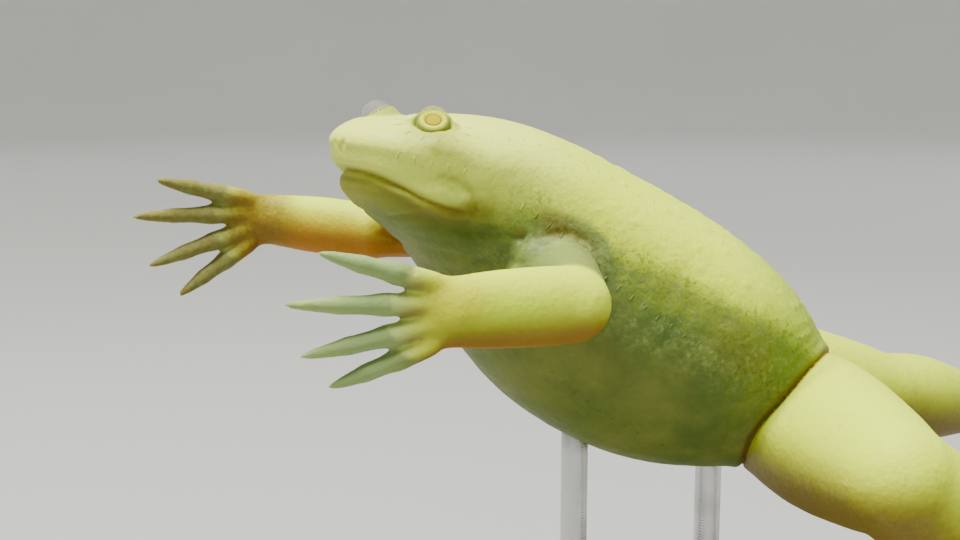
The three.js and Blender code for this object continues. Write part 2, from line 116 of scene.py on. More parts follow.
EYE_AT, EYE_SIDE, EYE_RISE = 11.0, 6.6, 3.95
EYE_RADIUS = 2.5
EYE_BALL = 2.25
EYE_LOOK = (0.52, 0.47, 0.71)
CORNEA_RADIUS = 2.05
CORNEA_FORWARD = 1.0
MOUND_RADIUS = 2.86
MOUND_BACK = 0.1
SOCKET_RIM = 0.75
NOSTRIL = (0.3, 1.1, -0.3)
FEELER = (9.2, 10.4, 1.4)

# The front of the eye's ball: distance from its axis and height over its middle
PUPIL = [(0, 1.36), (0.4, 1.35), (0.75, 1.31), (0.98, 1.24), (1.06, 1.18)]
IRIS = [(1.12, 1.24), (1.25, 1.32), (1.45, 1.34), (1.65, 1.3), (1.8, 1.2)]

# Swellings of the cheek: distance from the snout, height over the spine, spread along and up, amount
CHEEKS = [
    (11.2, -4.0, 0.9, 0.7, 0.24),
    (13.9, -4.8, 0.9, 0.7, 0.26),
    (9.4, -3.0, 1.4, 0.7, 0.1),
]

# Folds seen from the side: distances from the snout and heights over the spine, then depth and width
MOUTH_FOLD = [(10.8, -2.1), (12.6, -2.3), (14.2, -3.2), (15.3, -4.4), (16.0, -6.0)]
CHEEK_FOLDS = [
    ([(9.4, -2.9), *MOUTH_FOLD], 0.24, 0.4),
    ([(11.0, -3.2), (12.6, -3.9), (13.4, -4.8)], 0.2, 0.28),
    ([(15.8, -3.0), (17.4, -3.8), (18.4, -5.4)], 0.2, 0.4),
]
THROAT_FOLDS = [
    ([(8.6, -8.6), (10.4, -7.6), (13.3, -8.2), (17.0, -8.7), (20.8, -7.7), (24, -7.4)], 0.4),
    ([(11.5, -11.5), (15.5, -12.2), (20, -12.0), (24, -10.8)], 0.22),
]

# Lines of stitches: from, to, points, and shares of the half width, of the back and of the belly
BODY_LINES = [
    (15, 70, 90, 0.80, 0.62, 0),
    (22, 66, 70, 0.96, 0, 0.24),
    (28, 64, 60, 0.66, 0, 0.78),
]

# Which way each side lies from the spine
SIDES = {"left": 1, "right": -1}
SHOULDER = (34.0, 17.0, -7.0)
HIP_JOINT = (81.0, 13.0, -5.0)
HIP_PULL = 1.4
ARM_SIZES = {
    "upper": [(0, 4.4, 4.4), (0.6, 4.6, 4.4), (1, 4.6, 4.5)],
    "fore": [(0, 4.2, 4.9), (0.35, 4.0, 4.9), (0.8, 3.3, 4.6), (1, 2.9, 4.3)],
    "palm": [(0, 2.9, 4.3), (0.6, 2.3, 4.5), (1, 1.8, 4.3)],
}
ELBOW = 4.7
FINGER_LENGTHS = (14.8, 18.0, 16.4, 13.4)
FINGER_TOP = 3.4
FINGER_SPACING = 2.35
FINGER_RADIUS = 1.45
FINGER_TAPER = 0.2
FINGER_BEND = 0.1
ARMS = {
    "left": {
        "girth": 1.0,
        "ways": [(0.92, -0.27, -0.27), (0.14, -0.99, 0.04), (0.12, -0.99, 0.08)],
        "lengths": [12.5, 16.6, 2.4],
        "spread": (0, 0.06, 1),
        "fan": [13, -1, -14, -23],
    },
    "right": {
        "girth": 0.86,
        "ways": [(0.2, -0.97, 0.03), (-0.36, -0.92, 0.12), (0.12, -0.98, -0.02)],
        "lengths": [16.4, 15.5, 2.4],
        "spread": (0, 0.03, 1),
        "fan": [16, 4, -14, -30],
    },
}
LEG_SIZES = {
    "thigh": [(0, 10.0, 10.5), (0.4, 10.1, 10.4), (0.8, 8.4, 8.6), (1, 7.1, 7.2)],
    "shank": [(0, 6.9, 7.1), (0.3, 7.3, 7.7), (0.7, 5.2, 5.5), (1, 3.9, 4.0)],
    "tarsus": [(0, 3.9, 4.0), (0.5, 3.4, 3.2), (1, 5.0, 2.5)],
}
LEGS = {
    "left": {
        "ways": [(0.97, -0.23, 0.07), (-0.05, 0.78, -0.62), (0.4, 0.9, -0.16)],
        "lengths": [38, 42, 19],
        "sole": (0.1, 0.1, 1),
    },
    "right": {
        "ways": [(-0.1, 0.97, -0.2), (-0.34, 0.92, -0.24), (-0.3, 0.93, -0.22)],
        "lengths": [38, 42, 19],
        "sole": (-0.2, 0.2, 1),
    },
}
TOE_ANGLES = (-36, -20, -5, 10, 25)
TOE_LENGTHS = (24.0, 31.0, 39.0, 46.0, 42.0)
MIDDLE_TOE = 2
LAST_TOE = 4
CLAWED_TOES = 3
TOE_ROOT, TOE_CLAWED_TIP, TOE_BARE_TIP = 1.5, 0.75, 0.3
TOE_SPACING = 1.8
TOE_SPLAY = 0.12
TOE_DROOP = 0.13
TOE_ROOM = 0.42
TOE_SUNK = 1.5
TOE_KNUCKLES = (0.3, 0.55, 0.78)
WEB_NOTCH = 0.17
WEB_SAG = 0.1
WEB_PLEAT = 0.22
CLAW_GAP, CLAW_LENGTH, CLAW_RADIUS, CLAW_CURL = 0.6, 3.4, 0.8, 0.9
CLAW_OVERLAP = 0.6

BASE = {"width": 84.0, "depth": 116.0, "height": 6.0, "corner": 14.0, "edge": 1.2, "foot_edge": 0.35}
ROD = {"radius": 2.0, "foot_radius": 4.5, "neck": 4.3}
ROD_PLACES = ("front", "rear")

# The floor's flat radius and the radius and top of its rise, in metres
FLOOR_RADIUS, FLOOR_CURVE, FLOOR_TOP = 1.3, 0.7, 1.6

# Soft lights: place, target and size in metres, power in watts, colour
LIGHTS = {
    "key": ((0.05, -0.2, 0.85), (0, 0.0, 0.075), 0.4, 20.0, (1.0, 0.99, 0.92)),
    "fill": ((0.9, -0.7, 0.35), (0, 0.0, 0.07), 0.8, 0.6, (0.98, 1.0, 0.97)),
    "rear": ((-0.3, 0.9, 0.6), (0, 0.02, 0.07), 0.6, 2.0, (1.0, 1.0, 1.0)),
}
WORLD_COLOUR, WORLD_STRENGTH = (0.95, 0.97, 0.94, 1), 0.26

# The photograph's view: turns and field in degrees, distance in millimetres, places in pixels
VIEW = {"azimuth": 70, "elevation": 10, "field": 38, "distance": 180.0}
FRAME_MIDDLE = (480, 270)
SNOUT_PIXEL = (330, 140)
SENSOR = 36

# The solids that the skin takes the place of, by the start of their names
FLESH = ("head", "jaw", "torso", "upper", "forearm", "hand", "thigh", "shank", "foot")

# Colours of the finer marks, as linear values
MARKS = {
    "cloud": (0.66, 0.60, 0.10),
    "pale grain": (0.40, 0.50, 0.14),
    "speck": (0.30, 0.29, 0.06),
    # Painted shade in creases, along the mouth's line and in the nostrils
    "crease_shade": (0.19, 0.085, 0.008),
    "iris spoke": (0.40, 0.38, 0.12),
    "iris inside": (0.64, 0.72, 0.03),
    "pupil edge": (0.22, 0.10, 0.002),
    "eye back": (0.26, 0.29, 0.05),
    "clear": (0.97, 0.98, 0.94),
    "haze": (0.9, 0.92, 0.8),
    "horn streak": (0.16, 0.085, 0.03),
    "horn root": (0.42, 0.26, 0.10),
    "dust": (0.05, 0.05, 0.052),
    "smear": (0.45, 0.45, 0.44),
    "far floor": (0.86, 0.86, 0.85),
    "floor cloud": (0.3, 0.3, 0.3),
}


def size_of(name, description, value, low, high):
    """A property that holds a length, given in millimetres."""
    return FloatProperty(
        name=name,
        description=description,
        default=value * MM,
        min=low * MM,
        max=high * MM,
        unit="LENGTH",
        precision=5,
    )


def colour_of(name, description, *colour):
    """A property that holds a colour."""
    return FloatVectorProperty(
        name=name, description=description, subtype="COLOR", size=3, min=0, max=1, default=colour
    )


class FrogSizes(bpy.types.PropertyGroup):
    """Sizes of the skin's finer forms."""

    voxel: size_of("Skin voxel", "Size of the cells that fuse the body's forms into one skin", 0.32, 0.2, 2)
    web: size_of("Web half thickness", "Half the thickness of the web between the toes", 0.34, 0.25, 1)
    faces: IntProperty(
        name="Skin triangles",
        description="Triangles left in the skin after thinning",
        default=190000,
        min=20000,
        max=198000,
    )
    lip: size_of("Lip depth", "Depth of the line of the mouth", 0.6, 0, 2)
    stitch_length: size_of("Stitch length", "Length of one lateral-line organ", 1.15, 0.2, 4)
    stitch_width: size_of("Stitch width", "Width of one lateral-line organ", 0.32, 0.1, 2)
    stitch_height: size_of("Stitch height", "Height of one organ, half of it sunk in the skin", 0.2, 0.05, 2)
    stitch_spacing: size_of("Stitch spacing", "Distance from one organ to the next", 2.1, 0.5, 9)
    stitch_seed: IntProperty(
        name="Stitch seed", description="Seed of the small turns of the organs", default=4
    )


class FrogColours(bpy.types.PropertyGroup):
    """Colours of the frog and its stand, as linear values."""

    back: colour_of("Back", "Colour of the back and the tops of the limbs", 0.66, 0.83, 0.02)
    head: colour_of("Head", "Colour of the top of the head", 0.72, 0.86, 0.12)
    rump: colour_of("Rump", "Colour of the lower back", 0.30, 0.43, 0.018)
    # Flank, belly, throat and jaw are darker than the skin itself: painted shade of the underside, as under
    # a light from above
    flank: colour_of("Flank", "Colour of the flank between its dark grains", 0.088, 0.16, 0.04)
    belly: colour_of("Belly", "Colour of the belly", 0.09, 0.135, 0.02)
    throat: colour_of("Throat", "Colour of the throat", 0.085, 0.13, 0.012)
    jaw: colour_of("Jaw", "Colour of the chin under the mouth", 0.25, 0.28, 0.03)
    mottle: colour_of("Mottle", "Colour of the dark grains along the flank", 0.05, 0.075, 0.02)
    # Also painted shade under the mouth, under the limbs and on the palm side of the hands
    brown_and_shade: colour_of("Brown", "Colour of the olive-brown patches", 0.18, 0.12, 0.015)
    blush: colour_of("Blush", "Colour of the thin skin under the limbs", 0.40, 0.17, 0.01)
    digit: colour_of("Digits", "Colour of the fingers and toes", 0.42, 0.60, 0.25)
    # Also painted shade under each eye
    lid_and_shade: colour_of("Lids", "Colour of the skin round the eyes", 0.27, 0.30, 0.04)
    iris: colour_of("Iris", "Colour of the ring round the pupil", 0.46, 0.50, 0.03)
    pupil: colour_of("Pupil", "Colour of the pupil, where the eye's back shows", 0.46, 0.38, 0.004)
    claw: colour_of("Claw", "Colour of the horn of the claws", 0.07, 0.035, 0.012)
    base: colour_of("Base", "Colour of the stand's plate", 0.018, 0.019, 0.021)
    rod: colour_of("Rods", "Colour of the stand's steel rods", 0.58, 0.58, 0.57)
    floor: colour_of("Floor", "Colour of the floor", 0.44, 0.44, 0.435)


# Forms, in millimetres


def vec(*values):
    return np.array(values[0] if len(values) == 1 else values, float)


def unit(v):
    return v / np.linalg.norm(v)


def turned(v, axis, degrees):
    """A vector turned about an axis."""
    a = math.radians(degrees)
    axis = unit(axis)
    return v * math.cos(a) + np.cross(axis, v) * math.sin(a) + axis * (axis @ v) * (1 - math.cos(a))


def ease(x, low, high):
    """A smooth step from 0 at low to 1 at high."""
    t = np.clip((np.asarray(x, float) - low) / (high - low), 0, 1)
    return t * t * (3 - 2 * t)


def hump(x, centre, width):
    """A smooth hump of height 1 round a centre."""
    return np.exp(-(((x - centre) / width) ** 2))


def spot(x, y, width, height):
    """A smooth round hump of height 1 in two directions at once."""
    return np.exp(-((x / width) ** 2) - (y / height) ** 2)


def far_from(p, place):
    """Distances of points from a place."""
    return np.linalg.norm(p - place, axis=1)


def from_axis(p, place, axis):
    """How far points lie along an axis from a place, and how far out from it."""
    q = p - place
    high = q @ axis
    return high, np.linalg.norm(q - high[:, None] * axis, axis=1)


def quarter(count):
    return np.linspace(0, np.pi / 2, count)


def round_angles(sides):
    return 2 * np.pi * np.arange(sides) / sides
def between(rows, place):
    """A smooth line through rows of (place, value, value, ...), read at many places."""
    rows = np.array(rows, float)
    place = np.atleast_1d(np.asarray(place, float))
    x, y = rows[:, 0], rows[:, 1:]
    last = len(x) - 1
    i = np.clip(np.searchsorted(x, place, side="right") - 1, 0, last - 1)
    low = np.maximum(np.arange(last + 1) - 1, 0)
    high = np.minimum(np.arange(last + 1) + 1, last)
    slope = (y[high] - y[low]) / (x[high] - x[low])[:, None]
    width = (x[i + 1] - x[i])[:, None]
    t = np.clip((place[:, None] - x[i][:, None]) / width, 0, 1)
    t2, t3 = t * t, t * t * t
    return (
        y[i] * (2 * t3 - 3 * t2 + 1)
        + y[i + 1] * (3 * t2 - 2 * t3)
        + slope[i] * width * (t3 - 2 * t2 + t)
        + slope[i + 1] * width * (t3 - t2)
    )


def rounding(distance, length):
    """How far a rounded end has opened at a distance from its tip, from 0 to 1."""
    short = np.clip(1 - np.asarray(distance, float) / length, 0, 1)
    return np.sqrt(1 - short * short)


def heading(at):
    """Which way the spine points, towards the snout."""
    bend = ease(at, NECK_START, NECK_END)
    pitch = np.radians(HEAD_PITCH + (TRUNK_PITCH - HEAD_PITCH) * bend)
    yaw = np.radians(HEAD_YAW * (1 - bend))
    return np.stack([np.sin(yaw) * np.cos(pitch), -np.cos(yaw) * np.cos(pitch), np.sin(pitch)], -1)


SPINE_START, SPINE_END, SPINE_STEP = -12, 260, 0.25
SPINE_AT = np.arange(SPINE_START, SPINE_END, SPINE_STEP)


def along_spine(at, places):
    """Places between the spine's steps, at distances from the snout."""
    return np.stack([np.interp(at, SPINE_AT, places[:, k]) for k in range(3)], -1)


def spine_places():
    """The spine's places at even steps, with the hip where the solids have it."""
    steps = heading(SPINE_AT[:-1] + SPINE_STEP / 2) * SPINE_STEP
    places = np.vstack([np.zeros(3), -np.cumsum(steps, 0)])
    return places + (vec(HIP_PLACE) - along_spine(HIP_AT, places))


SPINE_PLACES = spine_places()


def station(at):
    """The spine's places and its ways forward, left and up, at distances from the snout."""
    at = np.asarray(at, float)
    place = along_spine(at, SPINE_PLACES)
    forward = heading(at)
    left = np.cross(np.array([0.0, 0.0, 1.0]), forward)
    left /= np.linalg.norm(left, axis=-1, keepdims=True)
    return place, forward, left, np.cross(forward, left)


def in_body(at, side, rise):
    place, _, left, up = station(at)
    return place + left * side + up * rise


def head_way(x, y, z):
    _, forward, left, up = station(EYE_AT)
    return unit(left * x + forward * y + up * z)


def loft(start, rings, end):
    """A closed mesh through rings of points, as its points and faces."""
    count, sides = rings.shape[:2]
    points = np.vstack([start[None], rings.reshape(-1, 3), end[None]])
    faces = []
    for k in range(sides):
        n = (k + 1) % sides
        faces.append((0, 1 + n, 1 + k))
        for r in range(count - 1):
            a = 1 + r * sides
            faces.append((a + k, a + n, a + sides + n, a + sides + k))
        a = 1 + (count - 1) * sides
        faces.append((len(points) - 1, a + k, a + n))
    return points, faces


def overhang(rise):
    """How far back the flesh under the snout lies, at heights over the spine."""
    return between(OVERHANG, np.maximum(0, -np.ravel(rise)))[:, 0].reshape(np.shape(rise))


def oval_rings(centre, across, wide, up, high, sides):
    """Rings of points round a line, with half widths and half heights along it."""
    angle = round_angles(sides)
    return (
        centre[:, None]
        + across * (wide[:, None] * np.cos(angle))[..., None]
        + up * (high[:, None] * np.sin(angle))[..., None]
    )


def squared(v):
    """A share of a round, pushed out towards a square."""
    return np.sign(v) * np.abs(v) ** (2 / SQUARENESS)


def body_form(sides=160, count=200):
    """The trunk and head."""
    at = SNOUT + (LENGTH - SNOUT) * (1 - np.cos(np.pi * np.arange(1, count) / count)) / 2
    width, rise, drop = between(OUTLINE, at).T
    opened = rounding(at - SNOUT, SNOUT_ROUND) * rounding(LENGTH - at, RUMP_ROUND)
    place, forward, left, up = station(at)
    angle = round_angles(sides)
    across = squared(np.cos(angle))[None] * (width * opened)[:, None]
    reach = np.where(angle[None] < np.pi, (rise * opened)[:, None], (drop * opened)[:, None])
    height = squared(np.sin(angle))[None] * reach
    lean = np.maximum(0, 1 - at / OVERHANG_END)[:, None] * overhang(height)
    rings = (
        place[:, None]
        + left[:, None] * across[..., None]
        + up[:, None] * height[..., None]
        - forward[:, None] * lean[..., None]
    )
    return loft(station(SNOUT)[0], rings, station(LENGTH)[0])


def limb_form(start, end, sizes, thick, sides=56, count=36):
    """One straight stretch of a limb with rounded ends."""
    way = end - start
    length = np.linalg.norm(way)
    way = way / length
    across = unit(np.cross(way, thick))
    depth = unit(np.cross(across, way))
    first, last = min(sizes[0][1:]), min(sizes[-1][1:])
    span = length + first + last
    places = np.concatenate([
        first * (1 - np.cos(np.linspace(0.12, np.pi / 2, 9)))[:-1],
        np.linspace(first, first + length, count),
        (span - last * (1 - np.cos(np.linspace(np.pi / 2, 0.12, 9))))[1:],
    ])
    opened = rounding(places, first) * rounding(span - places, last)
    wide, deep = (between(sizes, (places - first) / length) * opened[:, None]).T
    centre = start + way * (places - first)[:, None]
    rings = oval_rings(centre, across, wide, depth, deep, sides)
    return loft(start - way * first, rings, end + way * last)


def ball_form(centre, radius, sides=32, rows=16):
    """A round form, set at a place."""
    polar = np.pi * np.arange(1, rows) / rows
    angle = round_angles(sides)
    rings = np.stack([
        np.sin(polar)[:, None] * np.cos(angle),
        np.sin(polar)[:, None] * np.sin(angle),
        np.repeat(np.cos(polar)[:, None], sides, 1),
    ], -1)
    top = vec(0, 0, radius)
    return loft(centre + top, centre + rings * radius, centre - top)


def limb_joints(limbs, root, side):
    """The joints of an arm or a leg, one after another."""
    at, out, rise = root
    places = [in_body(at, out * SIDES[side], rise)]
    for way, length in zip(limbs[side]["ways"], limbs[side]["lengths"]):
        places.append(places[-1] + unit(vec(way)) * length)
    return places


def arm_joints(side):
    return limb_joints(ARMS, SHOULDER, side)


def leg_joints(side):
    return limb_joints(LEGS, HIP_JOINT, side)


def finger_form(root, way, bend, length):
    """A long pointed finger with slight swellings at its joints."""
    t = np.linspace(0, 0.995, 48) ** 0.9
    across = unit(np.cross(way, bend))
    deep = unit(np.cross(across, way))
    centre = root + way * (length * t)[:, None] + bend * (length * FINGER_BEND * t * t)[:, None]
    knuckles = 1 + 0.09 * hump(t, 0.36, 0.06) + 0.08 * hump(t, 0.66, 0.05) - 0.05 * hump(t, 0.5, 0.08)
    radius = FINGER_RADIUS * (1 - FINGER_TAPER * t) * np.sqrt(1 - t**2.6) * knuckles
    rings = oval_rings(centre, across, radius, deep, radius, 24)
    return loft(root - way * 0.8, rings, root + way * length + bend * length * FINGER_BEND)


def arm_forms(side):
    """The forms of one arm and hand."""
    spec, sign = ARMS[side], SIDES[side]
    shoulder, elbow, wrist, knuckles = arm_joints(side)
    spread = vec(spec["spread"])
    palm_way = unit(vec(spec["ways"][2]))
    girth = spec["girth"]
    at, out, rise = SHOULDER
    sizes = {
        name: [(t, wide * girth, deep * girth) for t, wide, deep in rows]
        for name, rows in ARM_SIZES.items()
    }
    forms = [
        limb_form(shoulder - vec(0, 0, 0.9), elbow, sizes["upper"], spread),
        ball_form(in_body(at - 2.6, (out - 1.2) * sign, rise - 2.2), 4.6 * girth),
        limb_form(elbow, wrist, sizes["fore"], spread),
        limb_form(wrist, knuckles, sizes["palm"], spread),
        ball_form(elbow, ELBOW * girth),
    ]
    bend = unit(np.cross(palm_way, spread)) * sign
    for i, angle in enumerate(spec["fan"]):
        way = turned(palm_way, bend, sign * angle)
        root = knuckles + spread * ((FINGER_TOP - i * FINGER_SPACING) * girth)
        forms.append(finger_form(root, way, bend, FINGER_LENGTHS[i]))
    return forms


def foot_frame(side):
    """Where a foot's toes start, and its ways along, across and up."""
    way = unit(vec(LEGS[side]["ways"][2]))
    sole = vec(LEGS[side]["sole"])
    across = unit(np.cross(way, sole)) * SIDES[side]
    up = unit(sole - way * (way @ sole))
    return leg_joints(side)[3] - way * TOE_SUNK, way, across, up


def toe_line(foot, index, t):
    """Points on the middle line of a toe, at shares of its length."""
    root, way, across, up = foot
    t = np.asarray(t, float)[..., None]
    turn = np.radians(TOE_ANGLES[index] * (1 + TOE_SPLAY * (1 - t)))
    length = TOE_LENGTHS[index]
    aside = (index - MIDDLE_TOE) * TOE_SPACING + length * t * np.sin(turn)
    ahead = length * t * np.cos(turn)
    return root + across * aside + way * ahead - up * (TOE_DROOP * length * t * t)


def toe_radius(index, t):
    """Half the thickness of a toe along it, a little fuller at its joints."""
    tip = TOE_CLAWED_TIP if index < CLAWED_TOES else TOE_BARE_TIP
    joints = TOE_KNUCKLES if index >= MIDDLE_TOE else TOE_KNUCKLES[:2]
    knuckles = 1 + sum(0.13 * hump(t, k, 0.03) for k in joints)
    return (TOE_ROOT + (tip - TOE_ROOT) * t) * knuckles


def foot_lines(foot, half_web, t):
    """Lines along the foot from its inner to its outer side, and half thicknesses at their points."""
    up = foot[3]
    line = [toe_line(foot, i, t) for i in range(LAST_TOE + 1)]
    places, thick = [], []
    offsets = np.cos(np.linspace(np.pi, 0, 11))
    for i in range(LAST_TOE + 1):
        side_way = line[min(i + 1, LAST_TOE)] - line[max(i - 1, 0)]
        side_way /= np.linalg.norm(side_way, axis=1, keepdims=True)
        gaps = [np.linalg.norm(line[i] - line[j], axis=1) for j in (i - 1, i + 1) if 0 <= j <= LAST_TOE]
        room = TOE_ROOM * np.min(gaps, 0)
        radius = toe_radius(i, t)
        for offset in offsets:
            outer = (i == 0 and offset < 0) or (i == LAST_TOE and offset > 0)
            half = radius if outer else np.minimum(radius, room)
            places.append(line[i] + side_way * (offset * half)[:, None])
            thick.append(np.maximum(half_web, radius * math.sqrt(max(0, 1 - offset * offset))))
        if i == LAST_TOE:
            break
        width = np.linalg.norm(line[i] - line[i + 1], axis=1)
        for share in np.arange(1, 14) / 14:
            arch = math.sin(math.pi * share)
            back = t * (1 - WEB_NOTCH * arch * t)
            place = toe_line(foot, i, back) * (1 - share) + toe_line(foot, i + 1, back) * share
            pleat = WEB_PLEAT * math.sin(3 * math.pi * share) * np.sin(np.pi * t)
            places.append(place - up * ((WEB_SAG * arch * width * t) + pleat)[:, None])
            thick.append(np.full(len(t), half_web))
    return np.stack(places, 1), np.stack(thick, 1)[..., None]


def foot_form(side, half_web, rows=110):
    """The toes and the web between them as one closed sheet, thick along each toe."""
    foot = foot_frame(side)
    up = foot[3]
    middle, thick = foot_lines(foot, half_web, np.linspace(0, 1, rows) ** 0.85)
    columns = middle.shape[1]
    top, bottom = middle + up * thick, middle - up * np.maximum(thick * 0.75, half_web)
    points = np.vstack([top.reshape(-1, 3), bottom.reshape(-1, 3)])
    under = rows * columns
    faces = []
    for r in range(rows - 1):
        for c in range(columns - 1):
            a = r * columns + c
            d = a + columns
            faces += [(a, a + 1, d + 1, d), (under + a, under + d, under + d + 1, under + a + 1)]
    rim = list(range(columns))
    rim += [r * columns + columns - 1 for r in range(1, rows)]
    rim += [(rows - 1) * columns + c for c in range(columns - 2, -1, -1)]
    rim += [r * columns for r in range(rows - 2, 0, -1)]
    for a, b in zip(rim, rim[1:] + rim[:1]):
        faces.append((a, under + a, under + b, b))
    return points, faces


def leg_forms(side, half_web):
    """The forms of one leg and webbed foot."""
    up = np.array([0.0, 0.0, 1.0])
    hip, knee, ankle, heel = leg_joints(side)
    return [
        limb_form(hip, knee, LEG_SIZES["thigh"], up),
        limb_form(knee, ankle, LEG_SIZES["shank"], up),
        limb_form(ankle, heel, LEG_SIZES["tarsus"], vec(LEGS[side]["sole"])),
        foot_form(side, half_web),
    ]


def eye_place(sign):
    """Where an eye sits, and which way it looks."""
    return in_body(EYE_AT, EYE_SIDE * sign, EYE_RISE), head_way(EYE_LOOK[0] * sign, *EYE_LOOK[1:])


# Meshes


def in_scene(name, data):
    """A new object in the scene."""
    made = bpy.data.objects.new(name, data)
    bpy.context.scene.collection.objects.link(made)
    return made


def mesh_object(name, forms):
    """One object from several closed forms given in millimetres, with its faces turned out."""
    points, faces, start = [], [], 0
    for some, corners in forms:
        points.append(some)
        faces += [tuple(start + c for c in face) for face in corners]
        start += len(some)
    mesh = bpy.data.meshes.new(name)
    mesh.from_pydata((np.vstack(points) * MM).tolist(), [], faces)
    piece = in_scene(name, mesh)
    work = bmesh.new()
    work.from_mesh(mesh)
    bmesh.ops.remove_doubles(work, verts=work.verts, dist=1e-7)
    bmesh.ops.recalc_face_normals(work, faces=work.faces)
    work.to_mesh(mesh)
    work.free()
    return piece


def write_values(mesh, name, values):
    """Keeps one number for each point, for a shader to read."""
    layer = mesh.attributes.new(name, "FLOAT", "POINT")
    layer.data.foreach_set("value", np.ascontiguousarray(values, np.float32))


def settle(piece):
    """Applies a piece's modifiers to its mesh."""
    bpy.context.view_layer.update()
    graph = bpy.context.evaluated_depsgraph_get()
    mesh = bpy.data.meshes.new_from_object(piece.evaluated_get(graph))
    old = piece.data
    piece.modifiers.clear()
    piece.data = mesh
    mesh.name = piece.name
    bpy.data.meshes.remove(old)


def smooth_faces(piece):
    piece.data.polygons.foreach_set("use_smooth", np.ones(len(piece.data.polygons), bool))
    piece.data.update()


def places_of(mesh):
    co = np.empty(len(mesh.vertices) * 3)
    mesh.vertices.foreach_get("co", co)
    return co.reshape(-1, 3) / MM


def set_places(mesh, places):
    mesh.vertices.foreach_set("co", (places * MM).ravel())
    mesh.update()


def normals_of(mesh):
    no = np.empty(len(mesh.vertices) * 3, np.float32)
    mesh.vertex_normals.foreach_get("vector", no)
    return no.reshape(-1, 3).astype(float)


def edges_of(mesh):
    pairs = np.empty(len(mesh.edges) * 2, np.int32)
    mesh.edges.foreach_get("vertices", pairs)
    return pairs.reshape(-1, 2)


def relax(places, pairs, amount, times):
    """Moves each point towards the middle of its neighbours."""
    count = np.bincount(pairs.ravel(), minlength=len(places))[:, None]
    for _ in range(times):
        total = np.zeros_like(places)
        for k in range(3):
            total[:, k] = np.bincount(pairs[:, 0], places[pairs[:, 1], k], len(places))
            total[:, k] += np.bincount(pairs[:, 1], places[pairs[:, 0], k], len(places))
        places = places + (total / np.maximum(count, 1) - places) * amount
    return places


def body_places(p):
    """Distances from the snout, sideways and over the spine of points in space."""
    at = HIP_AT - (p - vec(HIP_PLACE)) @ heading(60.0)
    for _ in range(8):
        place, forward, left, up = station(np.clip(at, SPINE_START + 1, SPINE_END - 2))
        at = at - ((p - place) * forward).sum(1)
    place, forward, left, up = station(np.clip(at, SPINE_START + 1, SPINE_END - 2))
    side = ((p - place) * left).sum(1)
    rise = ((p - place) * up).sum(1)
    return at, side, rise


def fullness(at, side, rise):
    """How far out a point lies, where 1 is the trunk's surface, and its angle over the side."""
    back = overhang(rise)
    ring = np.where(at < OVERHANG_END, (at - back) / (1 - back / OVERHANG_END), at)
    clipped = np.clip(ring, SNOUT, LENGTH)
    width, up, down = between(OUTLINE, clipped).T
    ends = rounding(clipped - SNOUT, SNOUT_ROUND) * rounding(LENGTH - clipped, RUMP_ROUND)
    opened = np.maximum(0.25, ends)
    high = np.where(rise > 0, up, down) * opened
    sideways, upwards = np.abs(side / (width * opened)), np.abs(rise / high)
    reach = (sideways**SQUARENESS + upwards**SQUARENESS) ** (1 / SQUARENESS)
    return reach, np.degrees(np.arctan2(rise / high, np.abs(side) / (width * opened)))


def stretch_distance(p, a, b):
    """Distances of points from a line between two joints, and their shares of the way along it."""
    way = b - a
    t = np.clip((p - a) @ way / (way @ way), 0, 1)
    return np.linalg.norm(p - (a + t[:, None] * way), axis=1), t


def polyline_distance(x, y, line):
    """Distances in a plane from a line of points."""
    best = np.full(len(x), 1e9)
    line = np.array(line, float)
    for (ax, ay), (bx, by) in zip(line[:-1], line[1:]):
        dx, dy = bx - ax, by - ay
        t = np.clip(((x - ax) * dx + (y - ay) * dy) / (dx * dx + dy * dy), 0, 1)
        best = np.minimum(best, np.hypot(x - ax - t * dx, y - ay - t * dy))
    return best


def grain(p, size, seed=0):
    """Smooth noise from -1 to 1 at points, with lumps of about a given size."""
    q = p / size + seed * 17.3
    return np.fromiter((noise.noise(v) for v in q), float, len(q))


def seam_fields(p, reach, side, limb):
    """How far points lie outside a limb, how far off its seam, and how near to it they are."""
    if limb == "leg":
        a, b = leg_joints(side)[:2]
        sizes, girth = LEG_SIZES["thigh"], 1.0
    else:
        a, b = arm_joints(side)[:2]
        sizes, girth = ARM_SIZES["upper"], ARMS[side]["girth"]
    d, t = stretch_distance(p, a, b)
    outside = d - between(sizes, t)[:, 0] * girth
    trunk = (reach - 1) * 22
    return outside, outside - trunk, hump(np.abs(outside) + np.abs(trunk), 0, 3.5)


def trunk_share(p, at, reach, start, end):
    """1 on the trunk and head, falling to 0 on the limbs."""
    joints = [arm_joints(side) for side in ARMS]
    arm = np.min([stretch_distance(p, a, b)[0] for some in joints for a, b in zip(some[:-1], some[1:])], 0)
    front = (1 - ease(at, 18, 22)) * ease(arm, 5.5, 7) * (1 - ease(reach, 1.5, 1.7) * ease(at, 5, 9))
    share = np.maximum(1 - ease(reach, start, end), front)
    for side in LEGS:
        _, seam, near = seam_fields(p, reach, side, "leg")
        share *= 1 - near * ease(-seam, 0, 0.5)
    return share


def hip_draw(p):
    """How far the flank's skin is drawn back over the front of each thigh, and the rump drawn in."""
    at, side, rise = body_places(p)
    reach, _ = fullness(at, side, rise)
    forward = heading(HIP_AT)
    shift = np.zeros_like(p)
    for name, sign in SIDES.items():
        _, seam, near = seam_fields(p, reach, name, "leg")
        share = hump(rise, -5, 5.5) * hump(seam, 0, 3) * near * (at < HIP_JOINT[0])
        shift -= forward * (HIP_PULL * share)[:, None]
        corner = in_body(74, 24 * sign, 3.5)
        shift += forward * (HIP_PULL * hump(far_from(p, corner), 0, 6.5))[:, None]
    rump = hump(far_from(p, in_body(79, 0, 6)), 0, 9)
    shift += (forward * 0.5 - station(HIP_AT)[3] * 1.2) * rump[:, None]
    return shift


def undrawn(p):
    """Where points lay before the skin was drawn at the hips."""
    q = p
    for _ in range(3):
        q = p - hip_draw(q)
    return q


